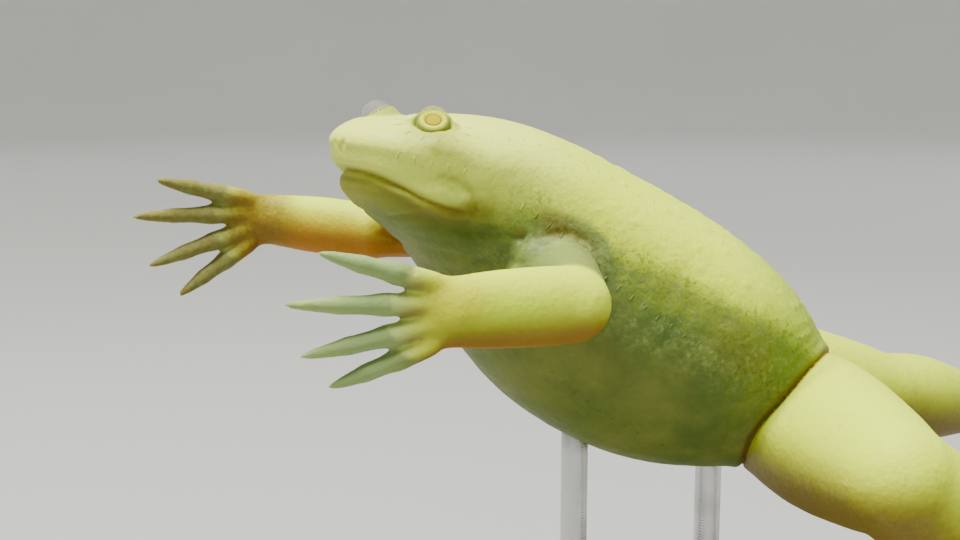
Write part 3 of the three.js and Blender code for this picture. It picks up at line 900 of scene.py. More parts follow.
def carve_mouth(move, side_view, near, lip):
    """A groove under a full upper lip, and a rounded chin."""
    at, over = side_view
    length = 1 - ease(at, 13.2, 15.4)
    chin = 1 - ease(at, 5, 11)
    move -= near * length * lip * (1 - 0.45 * ease(at, 7, 13)) * hump(over, 0, 0.34)
    move += near * length * (0.5 - 0.42 * ease(at, 5, 12)) * hump(over, 1.1, 0.8)
    move += near * length * 0.1 * hump(over, -0.8, 0.45)
    move += near * chin * 0.45 * hump(over, -2.6, 1.6)


def sculpt(mesh, lip):
    """Cuts the mouth, lips, nostrils, cheeks and folds into the skin."""
    final = places_of(mesh)
    p = undrawn(final)
    normal = normals_of(mesh)
    at, side, rise = body_places(p)
    reach, angle = fullness(at, side, rise)
    on_trunk = trunk_share(p, at, reach, 1.1, 1.3)
    out = np.abs(side)
    move = np.zeros(len(p))

    near = on_trunk * (at < 22) * (reach > 0.6)
    carve_mouth(move, (at, rise - between(MOUTH, at)[:, 0]), near, lip)

    # Cheek over the mouth's corner, the fold above it, and the folds of the throat
    for middle, height, long, high, amount in CHEEKS:
        move += amount * on_trunk * (out > 5) * spot(at - middle, rise - height, long, high)
    for line, depth, width in CHEEK_FOLDS:
        move -= near * (out > 6) * depth * hump(polyline_distance(at, rise, line), 0, width)
    below = ease(-rise, 4, 6.5) * ease(out, 1, 7)
    for line, depth in THROAT_FOLDS:
        fold = polyline_distance(at, rise, line)
        move -= on_trunk * below * depth * hump(fold, 0, 0.55)
        move += on_trunk * below * depth * 0.5 * hump(fold, 1.2, 0.8)

    # Brow over the eyes, and the dip between them
    move += on_trunk * 0.3 * spot(at - 6.5, out - 4.6, 2.4, 1.8) * (rise > 0)
    move -= on_trunk * 0.35 * spot(at - EYE_AT, side, 4, 1.9) * (rise > 0)

    # Nostrils, each a short slit
    for sign in SIDES.values():
        nostril = in_body(NOSTRIL[0], NOSTRIL[1] * sign, NOSTRIL[2])
        q = p - p[np.argmin(far_from(p, nostril))]
        along = q @ head_way(0.25 * sign, 0, 1)
        d = np.sqrt(np.maximum(0, (q * q).sum(1) - along**2) + (along * 0.55) ** 2)
        move -= 0.6 * hump(d, 0, 0.34)

    # The small feeler below each eye
    for sign in SIDES.values():
        feeler = in_body(FEELER[0], FEELER[1] * sign, FEELER[2])
        move += 0.3 * hump(far_from(p, p[np.argmin(far_from(p, feeler))]), 0, 0.65)

    # The eye's bulge runs down the side of the head, with a shallow fold round it
    move += on_trunk * 0.35 * spot(at - EYE_AT, rise - 2.4, 2.6, 1.8) * (out > 6)
    for sign in SIDES.values():
        high, away = from_axis(p, *eye_place(sign))
        move -= 0.16 * hump(away, 3.7, 0.5) * hump(high, -0.6, 1.6)

    # Folds of loose skin on the flank
    trunk_only = on_trunk * ease(at, 24, 34)
    wander = grain(p, 9.0, 1) * 1.6
    flank = hump(rise, -8, 8) * ease(at, 26, 40) * (1 - ease(at, 66, 76))
    move += trunk_only * flank * 0.06 * np.sin((at + wander * 1.2) * 2 * np.pi / 3.4)
    creases = grain(np.stack([at * 0.35, side, rise * 1.5], 1), 1.1, 6)
    move -= trunk_only * flank * 0.09 * ease(creases, 0.15, 0.5)

    # The trunk's skin rolls over the root of each limb, and folds along the seam
    for name in SIDES:
        for limb, roll, cut in (("leg", 0.34, 0.55), ("arm", 0.12, 0.16)):
            outside, seam, near_it = seam_fields(p, reach, name, limb)
            move -= cut * near_it * hump(seam, 0, 0.3)
            move += roll * near_it * hump(seam, 1.0, 0.8)
            if limb == "leg":
                folds = np.sin((outside + wander * 0.6) * 2 * np.pi / 2.0)
                folds *= hump(outside, 4.0, 2.6) * ease(seam, 0.8, 2) * ease(wander, -1.2, 0.6)
                move += trunk_only * 0.12 * folds * (1 - ease(rise, 2, 7)) * ease(rise, -18, -12)

    # Small warts on the back, and fine unevenness all over
    warts = grain(p, 1.7, 8)
    move += 0.13 * ease(warts, 0.3, 0.55) * trunk_only * ease(angle, -20, 30)
    uneven = grain(p, 3.2, 2) * 0.05 + grain(p, 1.4, 3) * 0.03
    move += uneven * (0.35 + 0.65 * trunk_only)
    set_places(mesh, final + normal * move[:, None])


def open_sockets(mesh):
    """Turns the skin over each eye inwards, so that the eye sits in a rimmed socket."""
    p = places_of(mesh)
    for sign in SIDES.values():
        place, look = eye_place(sign)
        high, away = from_axis(p, place, look)
        over = np.where((away < 2.7) & (high < 4), np.maximum(0, high - SOCKET_RIM), 0)
        p = p - look * (2.2 * over)[:, None]
    set_places(mesh, p)


def paint(mesh):
    """Writes the broad zones of the skin as point attributes, which the skin's shader reads."""
    p = undrawn(places_of(mesh))
    normal = normals_of(mesh)
    at, side, rise = body_places(p)
    reach, _ = fullness(at, side, rise)
    on_trunk = trunk_share(p, at, reach, 1.06, 1.2)
    wander = grain(p, 6.0, 5)
    zones = {name: np.zeros(len(p)) for name in ZONES}

    def lay(name, values):
        """Strengthens a zone where the values are above what it holds."""
        zones[name] = np.maximum(zones[name], values)

    # The border between the pale back and the belly, with the mottled band along it; the belly side is
    # darker as painted shade of the underside
    below = between(SIDE_LINE, at)[:, 0] + wander * 1.2 - rise
    under = 0.72 * ease(below, -2.2, 2.4) + 0.28 * ease(below, 2.4, 9)
    under = np.maximum(under, ease(below, 0.5, 4.5) * (1 - ease(at, 18, 26)))
    over = rise - between(MOUTH, at)[:, 0]
    under = np.maximum(under, ease(-over, 0.2, 1.6) * (1 - ease(at, 15, 19)))
    band = ease(below, -3.2, 0.6) * (1 - ease(below, 7, 13)) * ease(at, 15, 24) * (1 - ease(at, 66, 76))
    # On the limbs the pale colour keeps to the upward-facing side: painted shade on their undersides
    back = (1 - under) * on_trunk + (1 - on_trunk) * ease(normal[:, 2], -0.9, 0.35)

    # Arms and hands
    for name, warm, turns in (("left", 0.75, (-0.8, 0.1)), ("right", 1.0, (-0.4, 1.0))):
        shoulder, elbow, wrist, knuckles = arm_joints(name)
        palm_way = unit(vec(ARMS[name]["ways"][2]))
        palmar = normal @ (unit(np.cross(palm_way, vec(ARMS[name]["spread"]))) * SIDES[name])
        near = np.minimum(stretch_distance(p, shoulder, elbow)[0], stretch_distance(p, elbow, wrist)[0])
        down_facing = 1 - ease(normal[:, 2], *turns)
        lay("blush", warm * down_facing * (1 - ease(near, 6, 8)))
        outside, _, _ = seam_fields(p, reach, name, "arm")
        # Painted shade of the body on the upper arm near the shoulder: darker and greener there
        root = (1 - ease(far_from(p, shoulder), 9, 14)) * (1 - ease(outside, 0.8, 3.0))
        back *= 1 - root
        palm = 1 - ease(far_from(p, knuckles), 3.5, 9)
        lay("blush", 0.5 * palm * ease(palmar, -0.3, 0.7))
        lay("blush", 0.3 * palm)
        d, t = stretch_distance(p, knuckles, knuckles + palm_way * 18)
        hand = (1 - ease(d, 12, 14)) * ease(t, 0.0, 0.4)
        lay("digit", np.maximum(hand, 0.28 * root))
        # Painted shade on the palm side of each hand
        lay("brown_and_shade", 0.8 * hand * ease(palmar, 0.0, 0.9))
        # Painted shade under the left forearm, and over the whole far right hand
        if name == "left":
            lay("brown_and_shade", 0.45 * down_facing * (1 - ease(near, 6, 8)))
        else:
            lay("brown_and_shade", 0.8 * np.maximum(hand, palm))

    # Legs and toes with painted shade under the legs, and painted shade in the creases where limbs meet the
    # trunk
    for name in SIDES:
        foot, way, _, _ = foot_frame(name)
        near = 1 - ease(far_from(p, foot), 52, 56)
        lay("digit", 0.7 * near * ease((p - foot) @ way, 0, 20))
        hip, knee, ankle, _ = leg_joints(name)
        near = np.minimum(stretch_distance(p, hip, knee)[0], stretch_distance(p, knee, ankle)[0])
        leg_low = (1 - ease(normal[:, 2], -0.6, 0.5)) * (1 - ease(near, 11, 13)) * (1 - on_trunk)
        # Under the legs: a warm tint, and painted shade
        lay("blush", 0.35 * leg_low)
        lay("brown_and_shade", 0.9 * leg_low)
        for limb, depth in (("leg", 1.0), ("arm", 0.25)):
            _, seam, near_it = seam_fields(p, reach, name, limb)
            line = hump(seam, 0, 0.34) + 0.3 * hump(seam, 0, 1.1)
            lay("crease_shade", depth * near_it * np.minimum(line, 1))

    # The mouth's line and the shade under it, both painted shade, painted shade along the cheek's fold, and
    # brownish olive patches
    front = on_trunk * (reach > 0.6)
    mouth = hump(over, 0, 0.4) * front * (1 - ease(at, 13.5, 16.0))
    shade = ease(-over, -0.2, 0.7) * (1 - ease(-over, 0.9, 3.0)) * front * (1 - ease(at, 14, 17))
    lay("brown_and_shade", shade * (0.25 + 0.4 * ease(at, 3, 10)))
    # Painted shade along the fold above the mouth's corner
    arc = polyline_distance(at, rise, MOUTH_FOLD)
    lay("brown_and_shade", 0.4 * front * hump(arc, 0, 0.7) * (np.abs(side) > 6))
    patches = 0.5 * hump(at, 61, 7) * hump(rise, -5, 3) * ease(wander, -0.3, 0.4)
    patches += 0.6 * hump(at, 15.6, 2.2) * hump(rise, -5.4, 1.7)
    patches += 0.7 * hump(at, 26, 9) * hump(below, 1.4, 1.8) * ease(wander, -0.7, 0.2)
    patches += 0.25 * hump(at, 19, 3.5) * hump(rise, -2.5, 2.2)
    lay("brown_and_shade", on_trunk * patches)
    zones["blush"] *= 1 - 0.8 * zones["digit"]

    # Nostrils with painted shade in them, and the skin round the eyes
    for sign in SIDES.values():
        far = far_from(p, in_body(NOSTRIL[0], NOSTRIL[1] * sign, NOSTRIL[2]))
        lay("blush", 0.45 * hump(far, 0, 0.9))
        lay("crease_shade", 0.8 * hump(far, 0, 0.4))
        lay("lid_and_shade", 1 - ease(far_from(p, eye_place(sign)[0]), 2.7, 4.2))
    # Painted shade along the mouth's line
    lay("crease_shade", 0.9 * mouth)
    # Painted shade under each eye, in the colour of the skin round the eyes
    lay("lid_and_shade", hump(at, 9.6, 3.2) * ease(rise, -0.8, 1.0) * ease(np.abs(side), 6, 7.5) * on_trunk * 0.9)

    zones["back"] = back
    zones["band"] = band * on_trunk
    zones["headness"] = (1 - ease(at, 18, 36)) * on_trunk
    zones["throat"] = on_trunk * (1 - ease(at, 16, 34))
    zones["jaw"] = on_trunk * (1 - ease(at, 5, 15)) * ease(rise, -10, -5.5)
    zones["rump"] = on_trunk * ease(at, 50, 70)
    for name, values in zones.items():
        write_values(mesh, name, np.clip(values, 0, 1))


ZONES = ("back", "band", "blush", "brown_and_shade", "digit", "crease_shade", "headness", "throat", "jaw", "rump", "lid_and_shade")


# Materials


def add_node(tree, kind, inputs=None, **settings):
    """Adds a node with its settings, and links or sets its inputs."""
    made = tree.nodes.new(kind)
    for key, value in settings.items():
        setattr(made, key, value)
    for key, value in (inputs or {}).items():
        if isinstance(value, bpy.types.NodeSocket):
            tree.links.new(value, made.inputs[key])
        else:
            made.inputs[key].default_value = value
    return made


def filled(colour):
    """A colour with its fourth value, or a socket as it is."""
    return colour if isinstance(colour, bpy.types.NodeSocket) else (*colour, 1.0)


class Shades:
    """Short ways to lay nodes in one material."""

    def __init__(self, name):
        self.material = bpy.data.materials.new(name)
        self.material.use_nodes = True
        self.tree = self.material.node_tree
        self.shader = self.tree.nodes["Principled BSDF"]
        self.coords = self.add("ShaderNodeTexCoord").outputs["Object"]

    def add(self, kind, inputs=None, **settings):
        return add_node(self.tree, kind, inputs, **settings)

    def link(self, out, name):
        self.tree.links.new(out, self.shader.inputs[name])

    def attribute(self, name):
        return self.add("ShaderNodeAttribute", attribute_name=name).outputs["Fac"]

    def noise(self, scale, detail=3.0, roughness=0.55, distortion=0.0):
        values = {"Scale": scale, "Detail": detail, "Roughness": roughness, "Distortion": distortion}
        return self.add("ShaderNodeTexNoise", {**values, "Vector": self.coords}).outputs["Fac"]

    def cells(self, scale):
        made = self.add("ShaderNodeTexVoronoi", {"Scale": scale, "Vector": self.coords}, feature="F1")
        return made.outputs["Distance"]

    def ramp(self, value, low, high, start=0.0, end=1.0):
        inputs = {"Value": value, "From Min": low, "From Max": high, "To Min": start, "To Max": end}
        return self.add("ShaderNodeMapRange", inputs, interpolation_type="SMOOTHSTEP").outputs["Result"]

    def plus(self, a, b):
        return self.add("ShaderNodeMath", {0: a, 1: b}, operation="ADD").outputs[0]

    def times(self, a, b):
        return self.add("ShaderNodeMath", {0: a, 1: b}, operation="MULTIPLY").outputs[0]

    def mix(self, share, a, b):
        inputs = {"Factor": share, 6: filled(a), 7: filled(b)}
        return self.add("ShaderNodeMix", inputs, data_type="RGBA").outputs[2]

    def bump(self, height, distance, strength):
        inputs = {"Height": height, "Distance": distance, "Strength": strength}
        self.link(self.add("ShaderNodeBump", inputs).outputs["Normal"], "Normal")

    def base(self, colour):
        self.link(colour, "Base Color")

    def set(self, **values):
        for key, value in values.items():
            self.shader.inputs[key.replace("_", " ")].default_value = value


def skin_material(colours):
    """Pale wet skin with a dark grained flank and warm thin places, and painted shade on the underside, in
    creases, under the mouth and under the eyes.
    """
    s = Shades("frog skin")
    back, band = s.attribute("back"), s.attribute("band")
    cloud = s.noise(95, 4.0, 0.6)
    fine = s.noise(1500, 3.0, 0.6)
    cluster = s.noise(420, 4.0, 0.65, 0.4)
    grains = s.noise(1400, 2.0, 0.6)
    both = s.plus(s.times(cluster, 0.45), s.times(grains, 0.55))

    # Cream above, dark green below as painted shade of the underside, with the border between them broken up
    # into grains
    top = s.mix(s.attribute("headness"), colours.back, colours.head)
    top = s.mix(s.attribute("rump"), top, colours.rump)
    low = s.mix(s.attribute("throat"), colours.belly, colours.throat)
    low = s.mix(s.attribute("jaw"), low, colours.jaw)
    low = s.mix(s.times(band, 0.7), low, colours.flank)
    amount = s.plus(s.times(band, 1.7), 0.15)
    share = s.plus(back, s.times(s.plus(both, -0.5), amount))
    coat = s.mix(s.ramp(share, 0.05, 0.95), low, top)
    coat = s.mix(s.ramp(cloud, 0.3, 0.7, 0.0, 0.16), coat, MARKS["cloud"])
    pale = s.ramp(back, 0.1, 0.8, 0.5, 0.85)
    coat = s.mix(s.times(s.attribute("digit"), pale), coat, colours.digit)
    coat = s.mix(s.attribute("blush"), coat, colours.blush)
    # Brownish olive patches, with painted shade under the mouth, along the cheek's fold, under the limbs and
    # on the palm side of the hands
    brown_and_shade = s.times(s.attribute("brown_and_shade"), s.ramp(both, 0.36, 0.6, 0.7, 1.0))
    coat = s.mix(brown_and_shade, coat, colours.brown_and_shade)

    # Small dark grains within the band, and a few over the back
    dark = s.times(s.ramp(both, 0.5, 0.62), band)
    coat = s.mix(s.times(dark, 0.6), coat, colours.mottle)
    light = s.times(s.ramp(both, 0.48, 0.36), band)
    coat = s.mix(s.times(light, 0.3), coat, MARKS["pale grain"])
    specks = s.ramp(s.noise(1100, 2.0, 0.6), 0.58, 0.7)
    coat = s.mix(s.times(specks, s.ramp(cloud, 0.4, 0.6, 0.03, 0.2)), coat, MARKS["speck"])
    # Darker olive round the eyes, with painted shade under each eye
    coat = s.mix(s.times(s.attribute("lid_and_shade"), 0.75), coat, colours.lid_and_shade)
    # Painted shade in the creases, along the mouth's line and in the nostrils
    coat = s.mix(s.times(s.attribute("crease_shade"), 0.85), coat, MARKS["crease_shade"])
    s.base(coat)

    height = s.plus(s.times(fine, 0.6), s.times(s.cells(1300), 0.15))
    s.bump(s.plus(height, s.noise(420, 3.0, 0.6)), 0.0003, 0.6)
    s.link(s.ramp(fine, 0.2, 0.8, 0.48, 0.62), "Roughness")
    s.set(Subsurface_Weight=0.2, Subsurface_Radius=(1.0, 0.75, 0.25), Subsurface_Scale=0.002)
    s.set(Coat_Weight=0.03, Coat_Roughness=0.2, IOR=1.34, Specular_IOR_Level=0.25)
    return s.material


def iris_material(colours):
    """A pale ring with fine spokes round a yellow-orange pupil."""
    s = Shades("iris")
    out = s.attribute("out")
    spokes = {0: s.times(s.attribute("around"), 40.0), 1: s.times(out, 1.6)}
    where = s.add("ShaderNodeCombineXYZ", spokes).outputs[0]
    wave = s.add("ShaderNodeTexNoise", {"Scale": 1.0, "Detail": 3.0, "Vector": where}).outputs["Fac"]
    coat = s.mix(s.ramp(wave, 0.3, 0.7), colours.iris, MARKS["iris spoke"])
    coat = s.mix(s.ramp(out, 1.5, 1.8, 1.0, 0.0), coat, MARKS["iris inside"])
    coat = s.mix(s.ramp(out, 1.04, 1.2, 1.0, 0.0), coat, MARKS["pupil edge"])
    coat = s.mix(s.ramp(out, 0.84, 1.0, 1.0, 0.0), coat, colours.pupil)
    s.base(s.mix(s.ramp(out, 1.88, 2.1), coat, MARKS["eye back"]))
    s.bump(wave, 0.00008, 0.5)
    s.set(Roughness=0.7, Specular_IOR_Level=0.03)
    return s.material


def clear_material():
    """The clear front of the eye."""
    s = Shades("clear cornea")
    s.base(s.mix(s.ramp(s.noise(900, 2.0), 0.3, 0.7, 0.0, 0.1), MARKS["clear"], MARKS["haze"]))
    s.set(Transmission_Weight=1.0, Roughness=0.02, IOR=1.2, Alpha=0.28)
    return s.material


def claw_material(colours):
    """Dark horn, paler and browner at its root."""
    s = Shades("claw horn")
    streak = s.noise(1600, 3.0, 0.6)
    horn = s.mix(s.ramp(streak, 0.3, 0.7, 0.0, 0.4), colours.claw, MARKS["horn streak"])
    s.base(s.mix(s.ramp(s.attribute("root"), 0.0, 0.45, 0.7, 0.0), horn, MARKS["horn root"]))
    s.bump(streak, 0.00005, 0.4)
    s.set(Roughness=0.28, Coat_Weight=0.3, Coat_Roughness=0.1)
    return s.material


def base_material(colours):
    """Satin black plastic with a fine orange-peel grain."""
    s = Shades("stand plastic")
    dust = s.noise(60, 5.0, 0.65)
    s.base(s.mix(s.ramp(dust, 0.5, 0.8, 0.0, 0.25), colours.base, MARKS["dust"]))
    s.link(s.ramp(dust, 0.3, 0.7, 0.34, 0.48), "Roughness")
    s.bump(s.noise(900, 3.0, 0.6), 0.00006, 0.5)
    return s.material


def rod_material(colours):
    """Turned steel with fine rings."""
    s = Shades("stand steel")
    inputs = {"Scale": 700, "Distortion": 1.5, "Vector": s.coords}
    rings = s.add("ShaderNodeTexWave", inputs, wave_type="BANDS", bands_direction="Z")
    smear = s.noise(140, 4.0)
    s.base(s.mix(s.ramp(smear, 0.3, 0.7, 0.0, 0.4), colours.rod, MARKS["smear"]))
    s.link(s.ramp(smear, 0.3, 0.7, 0.24, 0.38), "Roughness")
    s.bump(rings.outputs["Fac"], 0.00003, 0.35)
    s.set(Metallic=1.0)
    return s.material


def floor_material(colours):
    """Matt grey under the model, paler where the floor rises behind it."""
    s = Shades("floor")
    far = s.add("ShaderNodeVectorMath", {0: s.coords}, operation="LENGTH").outputs["Value"]
    pale = s.mix(s.ramp(far, 0.4, 1.2), colours.floor, MARKS["far floor"])
    s.base(s.mix(s.ramp(s.noise(3, 3.0), 0.3, 0.7, 0.0, 0.06), pale, MARKS["floor cloud"]))
    s.set(Roughness=0.7)
    return s.material


def dress(piece, slot, *materials):
    """Gives a piece its materials and its body; its slot is not used."""
    order = np.zeros(len(piece.data.polygons), np.int32)
    piece.data.polygons.foreach_get("material_index", order)
    piece.data.materials.clear()
    for material in materials:
        piece.data.materials.append(material)
    piece.data.polygons.foreach_set("material_index", np.minimum(order, len(materials) - 1))
    smooth_faces(piece)
    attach(piece, "root")


# Pieces


class FROG_OT_skin(bpy.types.Operator):
    """Makes the whole skin, from the snout to the webs of the feet"""

    bl_idname = "frog.skin"
    bl_label = "Skin"

    def execute(self, context):
        sizes = context.scene.frog_sizes
        forms = [body_form()]
        for side in SIDES:
            forms += arm_forms(side) + leg_forms(side, sizes.web / MM)
        for sign in SIDES.values():
            place, look = eye_place(sign)
            forms.append(ball_form(place - look * MOUND_BACK, MOUND_RADIUS))
        skin = mesh_object("skin", forms)
        remesh = skin.modifiers.new("fuse", "REMESH")
        remesh.mode = "VOXEL"
        remesh.voxel_size = sizes.voxel * 1
        settle(skin)
        self.soften(skin.data)
        p = places_of(skin.data)
        set_places(skin.data, p + hip_draw(p))
        open_sockets(skin.data)
        sculpt(skin.data, sizes.lip / MM)
        set_places(skin.data, relax(places_of(skin.data), edges_of(skin.data), 0.35, 1))
        self.thin(skin, sizes.faces)
        paint(skin.data)
        dress(skin, "skin", skin_material(context.scene.frog_colours))
        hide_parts(*[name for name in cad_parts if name.startswith(FLESH)])
        return {"FINISHED"}

    def soften(self, mesh):
        """Rounds the meeting lines of the fused forms, but keeps the webs and fingers full."""
        p = places_of(mesh)
        pairs = edges_of(mesh)
        for amount in (0.5, -0.52, 0.5, -0.52):
            p = relax(p, pairs, amount, 1)
        soft = np.zeros(len(p))
        for side, sign in SIDES.items():
            shoulder, elbow, wrist, knuckles = arm_joints(side)
            _, knee, ankle, heel = leg_joints(side)
            rump_corner = in_body(75, 24 * sign, 3)
            for place, size, amount in (
                (shoulder, 9, 0.5),
                (elbow, 6.5, 1),
                (wrist, 6, 1),
                (knuckles, 5, 0.5),
                (knee, 10, 1),
                (ankle, 7, 1),
                (heel, 6, 0.6),
                (rump_corner, 5, 0.7),
            ):
                inside = 1 - ease(far_from(p, place), size * 0.6, size * 1.3)
                soft = np.maximum(soft, amount * inside)
        for sign in SIDES.values():
            place, look = eye_place(sign)
            soft = np.maximum(soft, 0.8 * hump(far_from(p, place - look * 1.2), 3.9, 1.2))
        for _ in range(24):
            p = p + (relax(p, pairs, 1.0, 1) - p) * (soft * 0.5)[:, None]
        set_places(mesh, p)

    def thin(self, skin, faces):
        """Takes out triangles where the skin is smooth."""
        skin.data.calc_loop_triangles()
        count = len(skin.data.loop_triangles)
        if count <= faces:
            return
        less = skin.modifiers.new("thin", "DECIMATE")
        less.ratio = faces / count
        settle(skin)


class FROG_OT_eyes(bpy.types.Operator):
    """Makes each eye: a ball with its iris, under a clear front"""

    bl_idname = "frog.eyes"
    bl_label = "Eyes"

    def execute(self, context):
        colours = context.scene.frog_colours
        iris, clear = iris_material(colours), clear_material()
        for name, sign in SIDES.items():
            place, look = eye_place(sign)
            piece = self.eye(f"eye_{name}_ball", place, look)
            dress(piece, "eye", iris, clear)
            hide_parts(f"eye_{name}")
        return {"FINISHED"}

    def ball(self):
        """The profile of the ball, from the middle of the pupil over the iris to the back."""
        turns = np.linspace(0.5, -np.pi / 2, 30)
        return PUPIL + IRIS + [(EYE_BALL * math.cos(t), EYE_BALL * math.sin(t)) for t in turns]

    def shell(self):
        """The profile of the clear shell, which bulges forward over the iris."""
        join = (EYE_RADIUS**2 - CORNEA_RADIUS**2 + CORNEA_FORWARD**2) / (2 * CORNEA_FORWARD)
        turns = np.linspace(0, np.pi, 72)
        front = [(CORNEA_RADIUS * math.sin(t), CORNEA_FORWARD + CORNEA_RADIUS * math.cos(t)) for t in turns]
        rear = [(EYE_RADIUS * math.sin(t), EYE_RADIUS * math.cos(t)) for t in turns]
        return [at for at in front if at[1] > join] + [at for at in rear if at[1] < join]

    def eye(self, name, place, look, sides=64):
        a = unit(np.cross(look, [0.2, 0.1, 1.0]))
        b = np.cross(look, a)
        angle = round_angles(sides)
        out = np.cos(angle)[:, None] * a + np.sin(angle)[:, None] * b
        forms = []
        for profile in (self.ball(), self.shell()):
            radius, high = np.array(profile).T
            rings = place + out[None] * radius[1:-1, None, None] + look * high[1:-1, None, None]
            forms.append(loft(place + look * high[0], rings, place + look * high[-1]))
        piece = mesh_object(name, forms)
        mesh = piece.data
        q = places_of(mesh) - place
        high, away = from_axis(places_of(mesh), place, look)
        write_values(mesh, "out", np.where(high > 1.1, away, EYE_RADIUS))
        write_values(mesh, "around", np.abs(np.arctan2(q @ b, q @ a) / (2 * np.pi)) * 2)
        order = np.zeros(len(mesh.polygons), np.int32)
        order[len(forms[0][1]):] = 1
        mesh.polygons.foreach_set("material_index", order)
        return piece


class FROG_OT_claws(bpy.types.Operator):
    """Makes the curved horn claw on each of the three inner toes of both feet"""

    bl_idname = "frog.claws"
    bl_label = "Claws"

    def execute(self, context):
        horn = claw_material(context.scene.frog_colours)
        for side in SIDES:
            foot = foot_frame(side)
            for index in range(CLAWED_TOES):
                piece = self.claw(f"claw_{side}_{index + 1}_horn", foot, index)
                dress(piece, "claw", horn)
                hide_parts(f"claw_{side}_{index + 1}")
        return {"FINISHED"}

    def claw(self, name, foot, index):
        """A horn tip that curls down, with its place from root to tip kept at each point."""
        tip = toe_line(foot, index, 1.0)
        way = unit(tip - toe_line(foot, index, 0.93))
        across = unit(np.cross(way, foot[3]))
        up = unit(np.cross(across, way))
        t = np.linspace(0, 0.99, 40)
        length = CLAW_LENGTH + CLAW_GAP + CLAW_OVERLAP
        centre = tip + way * (length * t - CLAW_OVERLAP)[:, None] - up * (CLAW_CURL * t**2)[:, None]
        ridges = 1 + 0.03 * np.sin(t * 60) * (t < 0.4)
        radius = CLAW_RADIUS * 1.04 * (1 - 0.88 * t**1.3) * np.sqrt(1 - t**8) * ridges
        angle = round_angles(24)
        flat = np.where(np.sin(angle) < 0, 0.8, 1.0)
        rings = (
            centre[:, None]
            + across * (0.92 * radius[:, None] * np.cos(angle))[..., None]
            + up * (radius[:, None] * np.sin(angle) * flat)[..., None]
        )
        end = tip + way * (length - CLAW_OVERLAP) - up * CLAW_CURL
        piece = mesh_object(name, [loft(tip - way * 0.75, rings, end)])
        share = (places_of(piece.data) - tip) @ way / CLAW_LENGTH
        write_values(piece.data, "root", np.clip(share, 0, 1))
        return piece


